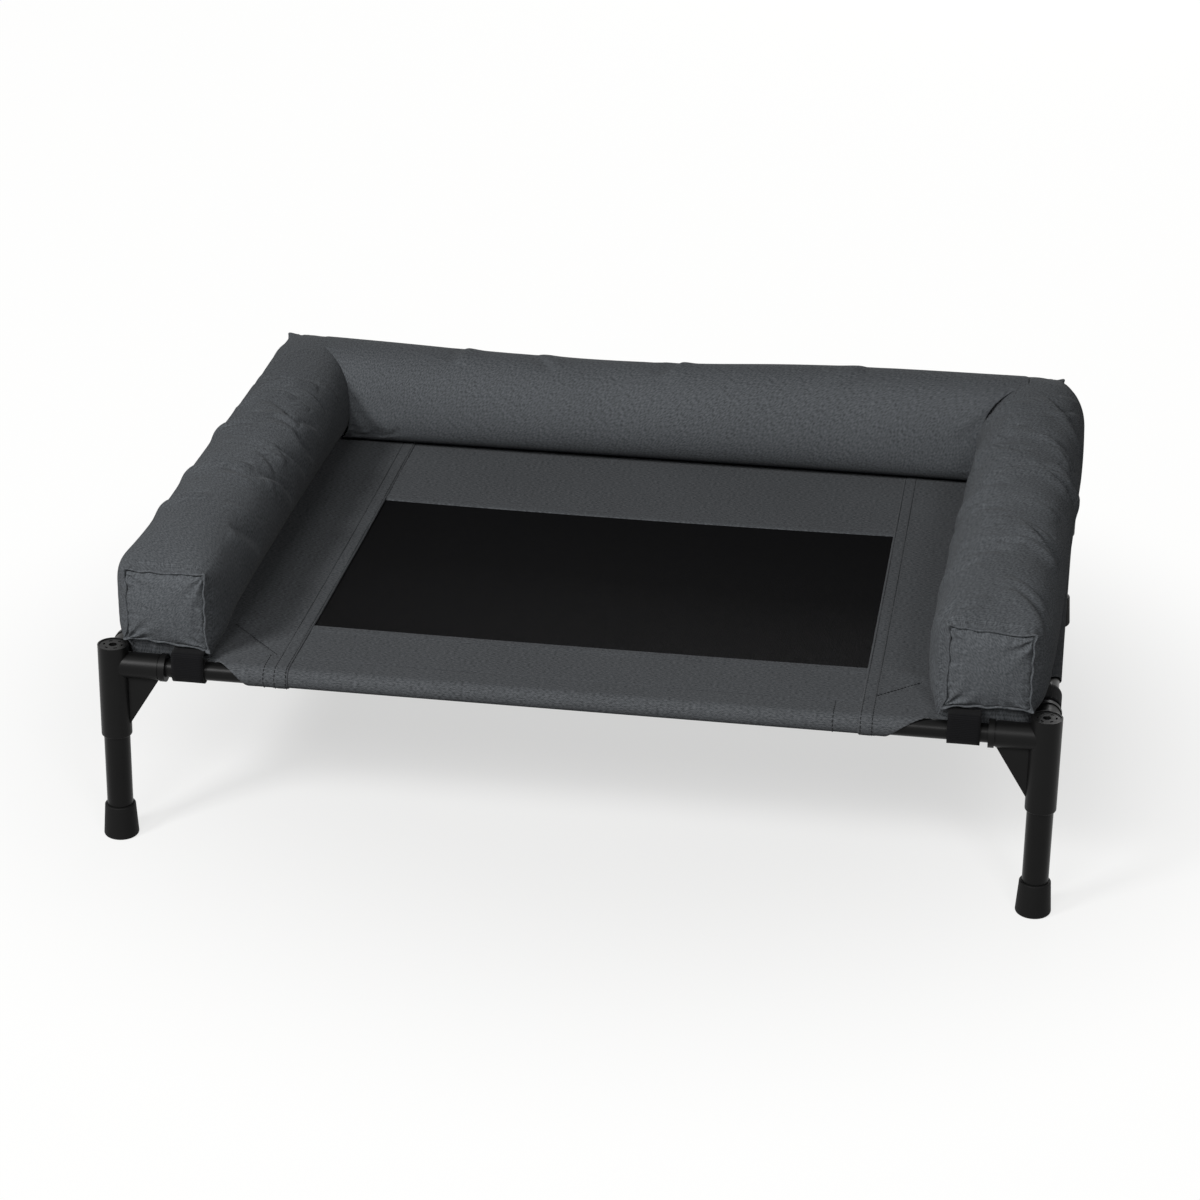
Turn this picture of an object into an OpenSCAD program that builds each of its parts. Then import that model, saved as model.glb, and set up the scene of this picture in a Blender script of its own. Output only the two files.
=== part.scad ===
// Raised pet cot: a tube frame on four plug-in legs, a sewn sling that is sleeved over the rails,
// and a U-shaped stuffed bolster that is strapped to the rails near each corner.
// Millimetres. The origin is on the floor under the middle of the cot, +X right, +Y back, +Z up.

/* [Frame] */
// Distance between the left and right corner axes
span_x = 783; // [640:1:1100]
// Distance between the front and back corner axes
span_y = 592; // [480:1:800]
// Height of the corner fittings' top faces above the floor
corner_top = 180; // [165:1:300]
// Outside diameter of the rails
rail_od = 16; // [13:0.5:20]
// Outside diameter of the legs
leg_od = 22.2; // [18:0.1:26]
// Wall of the rail and leg tubes
tube_wall = 1.2; // [0.8:0.1:2]

/* [Corner fittings] */
// Wall of the two sockets that hold the rails
rail_socket_wall = 3.1; // [2:0.1:5]
// Wall of the socket that holds the leg
leg_socket_wall = 1.9; // [1.5:0.1:4]
// Length of the leg socket, from the top face down
leg_socket_len = 84; // [72:1:110]
// Reach of the rail sockets from the corner axis
rail_socket_reach = 46.5; // [40:0.5:60]
// Depth of the rail axes below the top face
rail_drop = 18.3; // [16:0.1:30]
// Thickness of the cap that closes the leg socket
socket_cap = 4; // [3:0.1:6]
// Width of the rim around a rail socket's mouth
rim_w = 5; // [2:0.5:8]
// Height of that rim above the socket
rim_h = 0.8; // [0.4:0.1:2]
// Width of the groove behind the rim
groove_w = 1.4; // [0.6:0.1:3]
// Depth of that groove
groove_depth = 0.6; // [0.2:0.1:1.2]
// Thickness of the gusset webs
gusset_t = 5; // [3:0.5:8]
// Distance from the corner axis to a gusset's outer tip
gusset_reach = 39.5; // [30:0.5:40]
// Depth of a gusset's foot below the rail axis
gusset_drop = 54; // [35:1:60]
// Rounding of the leg socket's lower edge
socket_edge_r = 1.4; // [0.5:0.1:1.8]
// Width of the raised ring around the top face
top_ring_w = 1.3; // [0.8:0.1:3]
// Depth of the top face below that ring
top_recess = 0.6; // [0.2:0.1:1.5]
// Diameter of the hole in the middle of the top face
top_hole_d = 7; // [3:0.5:9]
// Number of blind slots around the hole
top_slots = 6; // [3:1:8]
// Length of a slot
top_slot_len = 3.4; // [2.5:0.1:5]
// Width of a slot
top_slot_w = 1.6; // [1:0.1:2.2]
// Depth of a slot
top_slot_depth = 1.5; // [0.5:0.1:2]

/* [Feet] */
// Height of the rubber feet
foot_h = 30; // [20:1:40]
// Wall of a foot at its upper edge
foot_wall = 2.1; // [1.5:0.1:4]
// Growth of a foot's radius from its upper edge to the floor
foot_flare = 1.75; // [0:0.05:4]
// Thickness of a foot under its leg
foot_floor = 4; // [3:0.5:8]
// Rounding of a foot's lower edge
foot_edge_r = 2.6; // [1:0.1:3.5]

/* [Sling] */
// Thickness of the sling's woven panels
fabric_t = 1; // [0.6:0.1:1.2]
// Wall of the sleeves around the rails
sleeve_wall = 1.4; // [1.3:0.1:2.5]
// Width of the side panels, from the rail axis to the seam
side_panel_w = 151.5; // [135:0.5:220]
// Width of the front border, from the rail axis to the mesh
front_border = 91; // [40:1:150]
// Width of the back border, from the rail axis to the mesh
back_border = 207; // [120:1:260]
// Thickness of the mesh panel
mesh_t = 0.7; // [0.4:0.1:1]
// Gap between a strap and the end of the sleeve
sleeve_setback = 22; // [6:0.5:30]
// Distance by which a sleeve is cut back further at its underside
sleeve_slant = 17; // [0:1:40]

/* [Straps] */
// Width of the strap webbing
strap_w = 27; // [20:0.5:40]
// Thickness of the strap webbing
strap_t = 1.4; // [1:0.1:2]
// Gap between a rail socket and the strap beside it
strap_setback = 6.5; // [3:0.5:15]
// Angle that the strap's closing overlap covers
strap_overlap = 130; // [60:5:180]
// Length of an end strap's tab, which is sewn to the bolster
strap_tab = 24; // [15:1:40]

/* [Bolster] */
// Width of a side arm's end panel
arm_end_w = 70; // [55:1:90]
// Height of a side arm's end panel
arm_end_h = 69; // [55:1:90]
// Distance from the corner axis to the end panel's outer edge
arm_inset = 12.5; // [10:0.5:20]
// Clearance of a side arm above the corner's top face, where it passes over its edge
arm_lift = 0.7; // [0.4:0.1:10]
// Swell of a side arm's outer face between its ends
arm_swell_out = 20; // [8:0.5:26]
// Swell of a side arm's inner face between its ends
arm_swell_in = 8; // [2:0.5:20]
// Rise of an arm's crown above the end panels
arm_crown = 10; // [4:0.5:20]
// Length over which a side arm swells to its full height
arm_taper = 120; // [90:1:180]
// Length over which a side arm swells to its full width
arm_side_taper = 60; // [40:1:120]
// Bulge of an end panel
panel_bulge = 3; // [1:0.5:8]
// Depth of the back arm from front to back
back_arm_depth = 93; // [75:1:110]
// Distance by which the back arm stands out behind the rail axis
back_arm_overhang = 4; // [-10:0.5:8]
// Thickness of the bolster's cover
cover_t = 1.5; // [1:0.1:2.5]

/* [Hidden] */
// Running clearance of a leg in its socket, on the radius
leg_clearance = 0.08;
// Clearance of a rail in its socket, on the radius
rail_clearance = 0.1;
// Clearance of a foot on its leg, on the radius
foot_clearance = 0.05;
// Clearance of a sleeve or strap around a rail, on the radius
wrap_clearance = 0.2;
// Clearance between soft pieces that lie on each other
soft_gap = 0.3;
// Clearance between the back arm and the side arms that it is sewn to
arm_joint_gap = 1.5;
// Gap between a side strap's tab and the cut edge of the sling
tab_gap = 3;
// Margin by which a cutting shape runs past what it cuts
over = 1;
// Depth to which joined shapes run into each other
lap = 0.2;
// Wall between the leg socket's bore and a rail's end
rail_stop_wall = 2;

rail_r = rail_od / 2;
leg_r = leg_od / 2;
rail_z = corner_top - rail_drop;
rail_bore_r = rail_r + rail_clearance;
rail_socket_r = rail_bore_r + rail_socket_wall;
rim_r = rail_socket_r + rim_h;
leg_bore_r = leg_r + leg_clearance;
leg_socket_r = leg_bore_r + leg_socket_wall;
rail_end = leg_socket_r + rail_stop_wall;
leg_socket_z = corner_top - leg_socket_len;
leg_top = corner_top - socket_cap;

foot_top_r = leg_r + foot_clearance + foot_wall;
foot_base_r = foot_top_r + foot_flare;

sleeve_in_r = rail_r + wrap_clearance;
sleeve_out_r = sleeve_in_r + sleeve_wall;
panel_mid_z = rail_z + sleeve_in_r + sleeve_wall / 2;
sleeve_low_z = rail_z - sleeve_out_r;
seam_x = span_x / 2 - side_panel_w;
strap_start = rail_socket_reach + strap_setback;
corner_cut_reach = strap_start + strap_w + sleeve_setback;

strap_in_r = rail_r + wrap_clearance;
strap_out_r = strap_in_r + strap_t;
side_tab = sleeve_setback - tab_gap;

arm_len = span_y;
arm_seat_z = rail_z + max(sleeve_out_r, strap_out_r) + soft_gap;
arm_end_z = arm_seat_z + (corner_top + arm_lift - arm_seat_z) / pow(1 - leg_socket_r / arm_taper, 2);
arm_end_in_x = span_x / 2 - arm_inset - arm_end_w;
arm_end_out_x = span_x / 2 - arm_inset;
// Squareness of an arm's section: at its end panels, over its crown and under its seat
end_power = 9;
crown_power = 2.5;
seat_power = 4;
// Height share above which the back arm stops following a side arm's curve
joint_share = 0.92;
// Points around an arm's section, and spans along it
arm_points = 20;
arm_spans = 18;
// Size of the ring inside an end panel's edge
panel_ring = 0.55;
// Sizes of the rings that keep the back arm's end faces to the side arms' curve
joint_rings = [0.6, 0.8, 0.92];

tube_colour = [0.09, 0.09, 0.10];
plastic_colour = [0.07, 0.07, 0.08];
rubber_colour = [0.05, 0.05, 0.05];
sling_colour = [0.25, 0.26, 0.28];
mesh_colour = [0.04, 0.04, 0.04];
bolster_colour = [0.28, 0.30, 0.32];
webbing_colour = [0.06, 0.06, 0.06];
fibre_colour = [0.93, 0.93, 0.90];

$fn = 48;

// Places a child at a corner, drawn with its inward directions along +X and +Y
module at_corner(side, end) {
    translate([side * span_x / 2, end * span_y / 2, 0])
        mirror([side > 0 ? 1 : 0, 0, 0])
            mirror([0, end > 0 ? 1 : 0, 0])
                children();
}

// Cylinder along +X, from x = from to x = to
module x_rod(from, to, r) {
    translate([from, 0, 0]) rotate([0, 90, 0]) cylinder(h = to - from, r = r);
}

// Cylinder along +Y, from y = from to y = to
module y_rod(from, to, r) {
    translate([0, from, 0]) rotate([-90, 0, 0]) cylinder(h = to - from, r = r);
}

module x_rail(end) {
    half = span_x / 2 - rail_end;
    color(tube_colour)
        translate([0, end * span_y / 2, rail_z])
            difference() {
                x_rod(-half, half, rail_r);
                x_rod(-half - over, half + over, rail_r - tube_wall);
            }
}

module y_rail(side) {
    half = span_y / 2 - rail_end;
    color(tube_colour)
        translate([side * span_x / 2, 0, rail_z])
            difference() {
                y_rod(-half, half, rail_r);
                y_rod(-half - over, half + over, rail_r - tube_wall);
            }
}

// Leg socket with a rounded lower edge, closed by its cap
module leg_socket() {
    arc = [for (a = [0 : 18 : 90])
        [leg_socket_r - socket_edge_r + socket_edge_r * sin(a),
         leg_socket_z + socket_edge_r - socket_edge_r * cos(a)]];
    rotate_extrude()
        polygon(concat([[0, leg_socket_z]], arc, [[leg_socket_r, corner_top], [0, corner_top]]));
}

// Rail socket along +X with its grooved rim
module rail_socket() {
    rim_start = rail_socket_reach - rim_w;
    difference() {
        union() {
            x_rod(0, rail_socket_reach, rail_socket_r);
            x_rod(rim_start, rail_socket_reach, rim_r);
        }
        difference() {
            x_rod(rim_start - groove_w, rim_start, rim_r + over);
            x_rod(rim_start - groove_w - over, rim_start + over, rail_socket_r - groove_depth);
        }
    }
}

// Triangular web between the leg socket and a rail socket, in the plane of their axes
module gusset() {
    rotate([90, 0, 0])
        translate([0, 0, -gusset_t / 2])
            linear_extrude(gusset_t)
                polygon([
                    [leg_bore_r + lap, rail_z - gusset_drop],
                    [leg_socket_r, rail_z - gusset_drop],
                    [gusset_reach, rail_z - rail_socket_r + lap],
                    [gusset_reach, rail_z - rail_bore_r - lap],
                    [leg_bore_r + lap, rail_z - rail_bore_r - lap]
                ]);
}

// Ring, centre hole and blind slots of the top face
module top_face_cuts() {
    face_z = corner_top - top_recess;
    slot_ring_r = (top_hole_d / 2 + leg_socket_r - top_ring_w) / 2;
    slot_half = (top_slot_len - top_slot_w) / 2;
    translate([0, 0, face_z]) cylinder(h = top_recess + over, r = leg_socket_r - top_ring_w);
    translate([0, 0, leg_top - over]) cylinder(h = socket_cap + 2 * over, d = top_hole_d);
    for (k = [0 : top_slots - 1])
        rotate(k * 360 / top_slots)
            translate([slot_ring_r, 0, face_z - top_slot_depth]) {
                for (s = [-1, 1])
                    translate([0, s * slot_half, 0]) cylinder(h = top_slot_depth + over, d = top_slot_w);
                translate([-top_slot_w / 2, -slot_half, 0])
                    cube([top_slot_w, 2 * slot_half, top_slot_depth + over]);
            }
}

module corner(side, end) {
    color(plastic_colour)
        at_corner(side, end)
            difference() {
                union() {
                    leg_socket();
                    translate([0, 0, rail_z]) rail_socket();
                    translate([0, 0, rail_z]) mirror([1, -1, 0]) rail_socket();
                    gusset();
                    mirror([1, -1, 0]) gusset();
                }
                translate([0, 0, leg_socket_z - over])
                    cylinder(h = leg_top - leg_socket_z + over, r = leg_bore_r);
                translate([0, 0, rail_z]) {
                    x_rod(rail_end, rail_socket_reach + over, rail_bore_r);
                    y_rod(rail_end, rail_socket_reach + over, rail_bore_r);
                }
                top_face_cuts();
            }
}

module leg(side, end) {
    color(tube_colour)
        at_corner(side, end)
            translate([0, 0, foot_floor])
                difference() {
                    cylinder(h = leg_top - foot_floor, r = leg_r);
                    translate([0, 0, -over])
                        cylinder(h = leg_top - foot_floor + 2 * over, r = leg_r - tube_wall);
                }
}

// Flared rubber cap with rounded edges
module foot(side, end) {
    lip_r = foot_wall / 2;
    base = [for (a = [0 : 15 : 90])
        [foot_base_r - foot_edge_r + foot_edge_r * sin(a), foot_edge_r - foot_edge_r * cos(a)]];
    lip = [for (a = [0 : 22.5 : 90])
        [foot_top_r - lip_r + lip_r * cos(a), foot_h - lip_r + lip_r * sin(a)]];
    color(rubber_colour)
        at_corner(side, end)
            rotate_extrude()
                polygon(concat(
                    [[0, 0]], base, lip,
                    [[leg_r + foot_clearance, foot_h], [leg_r + foot_clearance, foot_floor], [0, foot_floor]]
                ));
}

// Flat cloth of thickness t, set on the mid height of the sling
module cloth(x, y, w, d, t) {
    translate([x, y, panel_mid_z - t / 2]) cube([w, d, t]);
}

// Diagonal cut across the near left corner, which leans so that it cuts the sleeves' undersides further in
module corner_cut(end) {
    half_h = sleeve_out_r + over;
    lean = sleeve_slant * half_h / (2 * sleeve_out_r);
    middle = corner_cut_reach + sleeve_slant / 2;
    outside = 2 * half_h;
    across = middle + lean + outside;
    translate([-span_x / 2, end * span_y / 2, rail_z])
        rotate([90, 0, end < 0 ? 45 : -45])
            translate([0, 0, -across])
                linear_extrude(2 * across)
                    polygon([
                        [-outside, -half_h],
                        [(middle + lean) / sqrt(2), -half_h],
                        [(middle - lean) / sqrt(2), half_h],
                        [-outside, half_h]
                    ]);
}

// Side panel with its own sleeve and the ends of the front and back sleeves
module side_panel(side) {
    color(sling_colour)
        mirror([side > 0 ? 1 : 0, 0, 0])
            difference() {
                union() {
                    cloth(-span_x / 2, -span_y / 2, side_panel_w, span_y, fabric_t);
                    translate([-span_x / 2, 0, rail_z]) y_rod(-span_y / 2, span_y / 2, sleeve_out_r);
                    for (end = [-1, 1])
                        translate([0, end * span_y / 2, rail_z]) x_rod(-span_x / 2, -seam_x, sleeve_out_r);
                }
                translate([-span_x / 2, 0, rail_z])
                    y_rod(-span_y / 2 - over, span_y / 2 + over, sleeve_in_r);
                for (end = [-1, 1]) {
                    translate([0, end * span_y / 2, rail_z])
                        x_rod(-span_x / 2 - over, -seam_x + over, sleeve_in_r);
                    corner_cut(end);
                }
            }
}

// Panel between the side seams, sleeved over a front or back rail
module sleeved_panel(end, border) {
    color(sling_colour)
        mirror([0, end > 0 ? 1 : 0, 0])
            difference() {
                union() {
                    cloth(-seam_x, -span_y / 2, 2 * seam_x, border, fabric_t);
                    translate([0, -span_y / 2, rail_z]) x_rod(-seam_x, seam_x, sleeve_out_r);
                }
                translate([0, -span_y / 2, rail_z]) x_rod(-seam_x - over, seam_x + over, sleeve_in_r);
            }
}

module front_panel() {
    sleeved_panel(-1, front_border);
}

module back_panel() {
    sleeved_panel(1, back_border);
}

module mesh_panel() {
    color(mesh_colour)
        cloth(-seam_x, -span_y / 2 + front_border, 2 * seam_x, span_y - front_border - back_border, mesh_t);
}

// Share of the full swell at a distance t from an arm's end, where it grows over a length
function swell(t, length) = t <= 0 ? 0 : t >= length ? 1 : 1 - pow(1 - t / length, 2);

// Limits of a side arm's section at a distance t from its end: inner and outer x, lower and upper z
function arm_in_x(t) = arm_end_in_x - arm_swell_in * swell(t, arm_side_taper);
function arm_out_x(t) = arm_end_out_x + arm_swell_out * swell(t, arm_side_taper);
function arm_low_z(t) = arm_end_z + (arm_seat_z - arm_end_z) * swell(t, arm_taper);
function arm_top_z(t) = arm_end_z + arm_end_h + arm_crown * swell(t, arm_taper);

// Squareness of a side arm's section, over its crown or under its seat
function arm_power(t, above) =
    end_power + ((above ? crown_power : seat_power) - end_power) * swell(t, arm_taper);

// Signed power, for a superellipse
function spow(v, p) = sign(v) * pow(abs(v), p);

// Distance from y to the nearer end of a side arm
function end_distance(y) = arm_len / 2 - abs(y);

// Point of a side arm's section at height share and width share of the angle a, drawn in by inset
function side_arm_point(y, a, inset) =
    let (t = end_distance(y),
         p = 2 / arm_power(t, sin(a) >= 0),
         half_w = (arm_out_x(t) - arm_in_x(t)) / 2 - inset,
         half_h = (arm_top_z(t) - arm_low_z(t)) / 2 - inset)
    [(arm_out_x(t) + arm_in_x(t)) / 2 + half_w * spow(cos(a), p),
     y,
     (arm_top_z(t) + arm_low_z(t)) / 2 + half_h * spow(sin(a), p)];

// Inner x of a side arm at a depth y and a height z
function side_arm_inner_x(y, z) =
    let (t = end_distance(y),
         n = arm_power(t, z >= (arm_top_z(t) + arm_low_z(t)) / 2),
         half_w = (arm_out_x(t) - arm_in_x(t)) / 2,
         half_h = (arm_top_z(t) - arm_low_z(t)) / 2,
         share = min(joint_share, abs(z - (arm_top_z(t) + arm_low_z(t)) / 2) / half_h))
    (arm_out_x(t) + arm_in_x(t)) / 2 - half_w * pow(1 - pow(share, n), 1 / n);

// Closed skin over rings of points, with a fan to a point at each end
module skin(rings, start, finish) {
    n = len(rings[0]);
    m = len(rings);
    points = concat([for (ring = rings) each ring], [start, finish]);
    walls = [for (i = [0 : m - 2], j = [0 : n - 1])
        let (a = i * n + j, b = i * n + (j + 1) % n)
        each [[a, b, b + n], [a, b + n, a + n]]];
    start_fan = [for (j = [0 : n - 1]) [n * m, (j + 1) % n, j]];
    end_fan = [for (j = [0 : n - 1]) [n * m + 1, (m - 1) * n + j, (m - 1) * n + (j + 1) % n]];
    polyhedron(points, concat(walls, start_fan, end_fan));
}

// Side arm between its two crowned end panels, drawn in by inset
module side_arm_form(inset) {
    end_y = arm_len / 2 - inset;
    centre_x = (arm_end_in_x + arm_end_out_x) / 2;
    centre_z = arm_end_z + arm_end_h / 2;
    angles = [for (j = [0 : arm_points - 1]) j * 360 / arm_points];
    function panel_point(q, end) = [
        centre_x + panel_ring * (q[0] - centre_x),
        end * (end_y + panel_bulge * (1 - pow(panel_ring, 2))),
        centre_z + panel_ring * (q[2] - centre_z)
    ];
    body = [for (i = [0 : arm_spans])
        let (y = -end_y * cos(180 * i / arm_spans))
        [for (a = angles) side_arm_point(y, a, inset)]];
    front = [for (q = body[0]) panel_point(q, -1)];
    back = [for (q = body[arm_spans]) panel_point(q, 1)];
    tip = end_y + panel_bulge;
    skin(concat([front], body, [back]), [centre_x, -tip, centre_z], [centre_x, tip, centre_z]);
}

// Back arm, whose ends are shaped to the side arms that they meet, drawn in by inset
module back_arm_form(inset) {
    back_y = span_y / 2 + back_arm_overhang;
    centre_y = back_y - back_arm_depth / 2;
    low_z = arm_seat_z;
    top_z = arm_end_z + arm_end_h + arm_crown;
    centre_z = (low_z + top_z) / 2;
    half_d = back_arm_depth / 2 - inset;
    half_h = (top_z - low_z) / 2 - inset;
    angles = [for (j = [0 : arm_points - 1]) j * 360 / arm_points];
    function reach(y, z) = side_arm_inner_x(y, z) - arm_joint_gap - inset;
    function ring(share, scale) = [for (a = angles)
        let (p = 2 / (sin(a) >= 0 ? crown_power : seat_power),
             y = centre_y - scale * half_d * spow(cos(a), p),
             z = centre_z + scale * half_h * spow(sin(a), p))
        [share * reach(y, z), y, z]];
    body = [for (i = [0 : arm_spans]) ring(2 * i / arm_spans - 1, 1)];
    tip = reach(centre_y, centre_z);
    left = [for (scale = joint_rings) ring(-1, scale)];
    right = [for (i = [len(joint_rings) - 1 : -1 : 0]) ring(1, joint_rings[i])];
    skin(concat(left, body, right), [-tip, centre_y, centre_z], [tip, centre_y, centre_z]);
}

module side_arm_cover(side) {
    color(bolster_colour)
        mirror([side > 0 ? 0 : 1, 0, 0])
            difference() {
                side_arm_form(0);
                side_arm_form(cover_t);
            }
}

module side_arm_filling(side) {
    color(fibre_colour)
        mirror([side > 0 ? 0 : 1, 0, 0])
            side_arm_form(cover_t + soft_gap);
}

module back_arm_cover() {
    color(bolster_colour)
        difference() {
            back_arm_form(0);
            back_arm_form(cover_t);
        }
}

module back_arm_filling() {
    color(fibre_colour)
        back_arm_form(cover_t + soft_gap);
}

// Webbing wound once around a rail along +X, with the second layer where it closes on itself
module strap_loop() {
    difference() {
        union() {
            x_rod(strap_start, strap_start + strap_w, strap_out_r);
            translate([strap_start, 0, 0])
                rotate([0, 90, 0])
                    rotate([0, 0, -strap_overlap / 2])
                        rotate_extrude(angle = strap_overlap)
                            translate([strap_out_r - lap, 0]) square([strap_t, strap_w]);
        }
        x_rod(strap_start - over, strap_start + strap_w + over, strap_in_r);
    }
}

// Strap of a front or back rail: it climbs outside the rail to a tab under the arm's end panel
module end_strap(side, end) {
    band = strap_t - 2 * lap;
    tab_end = strap_tab - strap_out_r;
    tab_top = arm_low_z(tab_end) - soft_gap;
    color(webbing_colour)
        at_corner(side, end)
            translate([0, 0, rail_z]) {
                strap_loop();
                translate([strap_start, -strap_out_r + lap, 0]) {
                    cube([strap_w, band, tab_top - rail_z]);
                    translate([0, 0, tab_top - rail_z - band]) cube([strap_w, strap_tab, band]);
                }
            }
}

// Strap of a side rail: its tab runs inward under the arm
module side_strap(side, end) {
    band = strap_t - 2 * lap;
    color(webbing_colour)
        at_corner(side, end)
            translate([0, 0, rail_z])
                mirror([1, -1, 0]) {
                    strap_loop();
                    translate([strap_start, 0, strap_in_r + lap]) cube([strap_w, side_tab, band]);
                }
}

x_rail(-1);  // front_rail
x_rail(1);  // back_rail
y_rail(-1);  // left_rail
y_rail(1);  // right_rail
corner(-1, -1);  // front_left_corner
corner(1, -1);  // front_right_corner
corner(-1, 1);  // back_left_corner
corner(1, 1);  // back_right_corner
leg(-1, -1);  // front_left_leg
leg(1, -1);  // front_right_leg
leg(-1, 1);  // back_left_leg
leg(1, 1);  // back_right_leg
foot(-1, -1);  // front_left_foot
foot(1, -1);  // front_right_foot
foot(-1, 1);  // back_left_foot
foot(1, 1);  // back_right_foot
side_panel(-1);  // left_side_panel
side_panel(1);  // right_side_panel
front_panel();
back_panel();
mesh_panel();
side_arm_cover(-1);  // left_arm_cover
side_arm_cover(1);  // right_arm_cover
back_arm_cover();
side_arm_filling(-1);  // left_arm_filling
side_arm_filling(1);  // right_arm_filling
back_arm_filling();
end_strap(-1, -1);  // front_rail_left_strap
end_strap(1, -1);  // front_rail_right_strap
end_strap(-1, 1);  // back_rail_left_strap
end_strap(1, 1);  // back_rail_right_strap
side_strap(-1, -1);  // left_rail_front_strap
side_strap(-1, 1);  // left_rail_back_strap
side_strap(1, -1);  // right_rail_front_strap
side_strap(1, 1);  // right_rail_back_strap
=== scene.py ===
"""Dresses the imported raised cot: its rails, corners, legs and feet get painted, moulded and rubber
finishes, and the sling, straps and bolster become sewn and stuffed surfaces.

Metres, in the CAD frame: the origin is on the floor under the middle of the cot, +X right, +Y back, +Z up.
"""
from __future__ import annotations

import logging
from dataclasses import dataclass
from enum import Enum

import bpy
import numpy as np
from mathutils import Matrix, Vector


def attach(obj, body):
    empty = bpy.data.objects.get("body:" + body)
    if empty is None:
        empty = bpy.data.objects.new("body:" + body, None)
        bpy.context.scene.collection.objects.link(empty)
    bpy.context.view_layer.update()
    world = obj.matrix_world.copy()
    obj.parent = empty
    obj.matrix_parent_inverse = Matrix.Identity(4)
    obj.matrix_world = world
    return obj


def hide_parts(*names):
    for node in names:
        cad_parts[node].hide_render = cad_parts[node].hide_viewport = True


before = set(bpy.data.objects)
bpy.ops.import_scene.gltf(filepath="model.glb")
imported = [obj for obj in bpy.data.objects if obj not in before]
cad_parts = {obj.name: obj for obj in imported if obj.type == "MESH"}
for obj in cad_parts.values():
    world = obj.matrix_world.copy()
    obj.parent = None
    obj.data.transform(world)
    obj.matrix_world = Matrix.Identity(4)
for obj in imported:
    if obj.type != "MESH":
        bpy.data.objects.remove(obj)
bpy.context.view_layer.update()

LOG = logging.getLogger("raised_cot")
Array = np.ndarray
Colour = tuple[float, float, float]
Point = tuple[float, float, float]
Place = tuple[float, float]
Range = tuple[float, float]
RAIL_X = 0.3915
RAIL_Y = 0.296
RAIL_Z = 0.1617
UNIT_WAVE = np.pi / 10.0


class Half(Enum):
    """One of two halves of the cot, by the sign of a coordinate."""

    @property
    def word(self) -> str:
        """Name of the half as the nodes spell it."""
        return self.name.lower()


class Side(Half):
    """Left or right, by the sign of x."""

    LEFT = -1
    RIGHT = 1


class End(Half):
    """Front or back, by the sign of y."""

    FRONT = -1
    BACK = 1


def smooth_step(low: float, high: float, value: Array) -> Array:
    """Cubic ramp 3t^2 - 2t^3 from 0 at low to 1 at high.

    Args:
        low: Value at which the ramp starts.
        high: Value at which it ends.
        value: Where to read it.
    Returns:
        The ramp, between 0 and 1.
    """
    t = np.clip((value - low) / (high - low), 0.0, 1.0)
    return t * t * (3.0 - 2.0 * t)


def signed_power(value: Array, power: Array) -> Array:
    """The power of the size of a value, with its sign kept."""
    return np.sign(value) * np.abs(value) ** power


def unit(vectors: Array) -> Array:
    """Vectors divided by their lengths."""
    return vectors / np.maximum(np.linalg.norm(vectors, axis=-1, keepdims=True), 1e-12)


def cubic_weights(at: Array, count: int, ring: bool) -> Array:
    """Weights that read a row of samples between its points with Catmull-Rom cubics.

    Args:
        at: Places to read, counted in samples.
        count: Number of samples.
        ring: Whether the row closes on itself.
    Returns:
        A matrix of len(at) rows and count columns.
    """
    cell = np.floor(at).astype(int)
    t = at - cell
    parts = np.stack([
        -0.5 * t + t ** 2 - 0.5 * t ** 3,
        1.0 - 2.5 * t ** 2 + 1.5 * t ** 3,
        0.5 * t + 2.0 * t ** 2 - 1.5 * t ** 3,
        -0.5 * t ** 2 + 0.5 * t ** 3,
    ], axis=1)
    index = cell[:, None] + np.arange(-1, 3)
    index = index % count if ring else np.clip(index, 0, count - 1)
    weights = np.zeros((len(at), count))
    np.add.at(weights, (np.arange(len(at))[:, None], index), parts)
    return weights


def read_runs(runs: Array, shares: Array) -> Array:
    """Open runs of points, read again at shares of their lengths.

    Args:
        runs: Points of shape (runs, samples, 3).
        shares: Shares wanted of each run, from 0 to less than 1.
    Returns:
        Points of shape (runs, len(shares), 3).
    """
    steps = np.linalg.norm(np.diff(runs, axis=1), axis=2)
    run = np.concatenate([np.zeros((len(runs), 1)), np.cumsum(steps, axis=1)], axis=1)
    shift = 2.0 * np.arange(len(runs))[:, None]
    have = (run / run[:, -1:] + shift).ravel()
    want = (shares + shift).ravel()
    axes = [np.interp(want, have, runs[..., k].ravel()) for k in range(3)]
    return np.stack(axes, axis=-1).reshape(len(runs), len(shares), 3)


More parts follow.
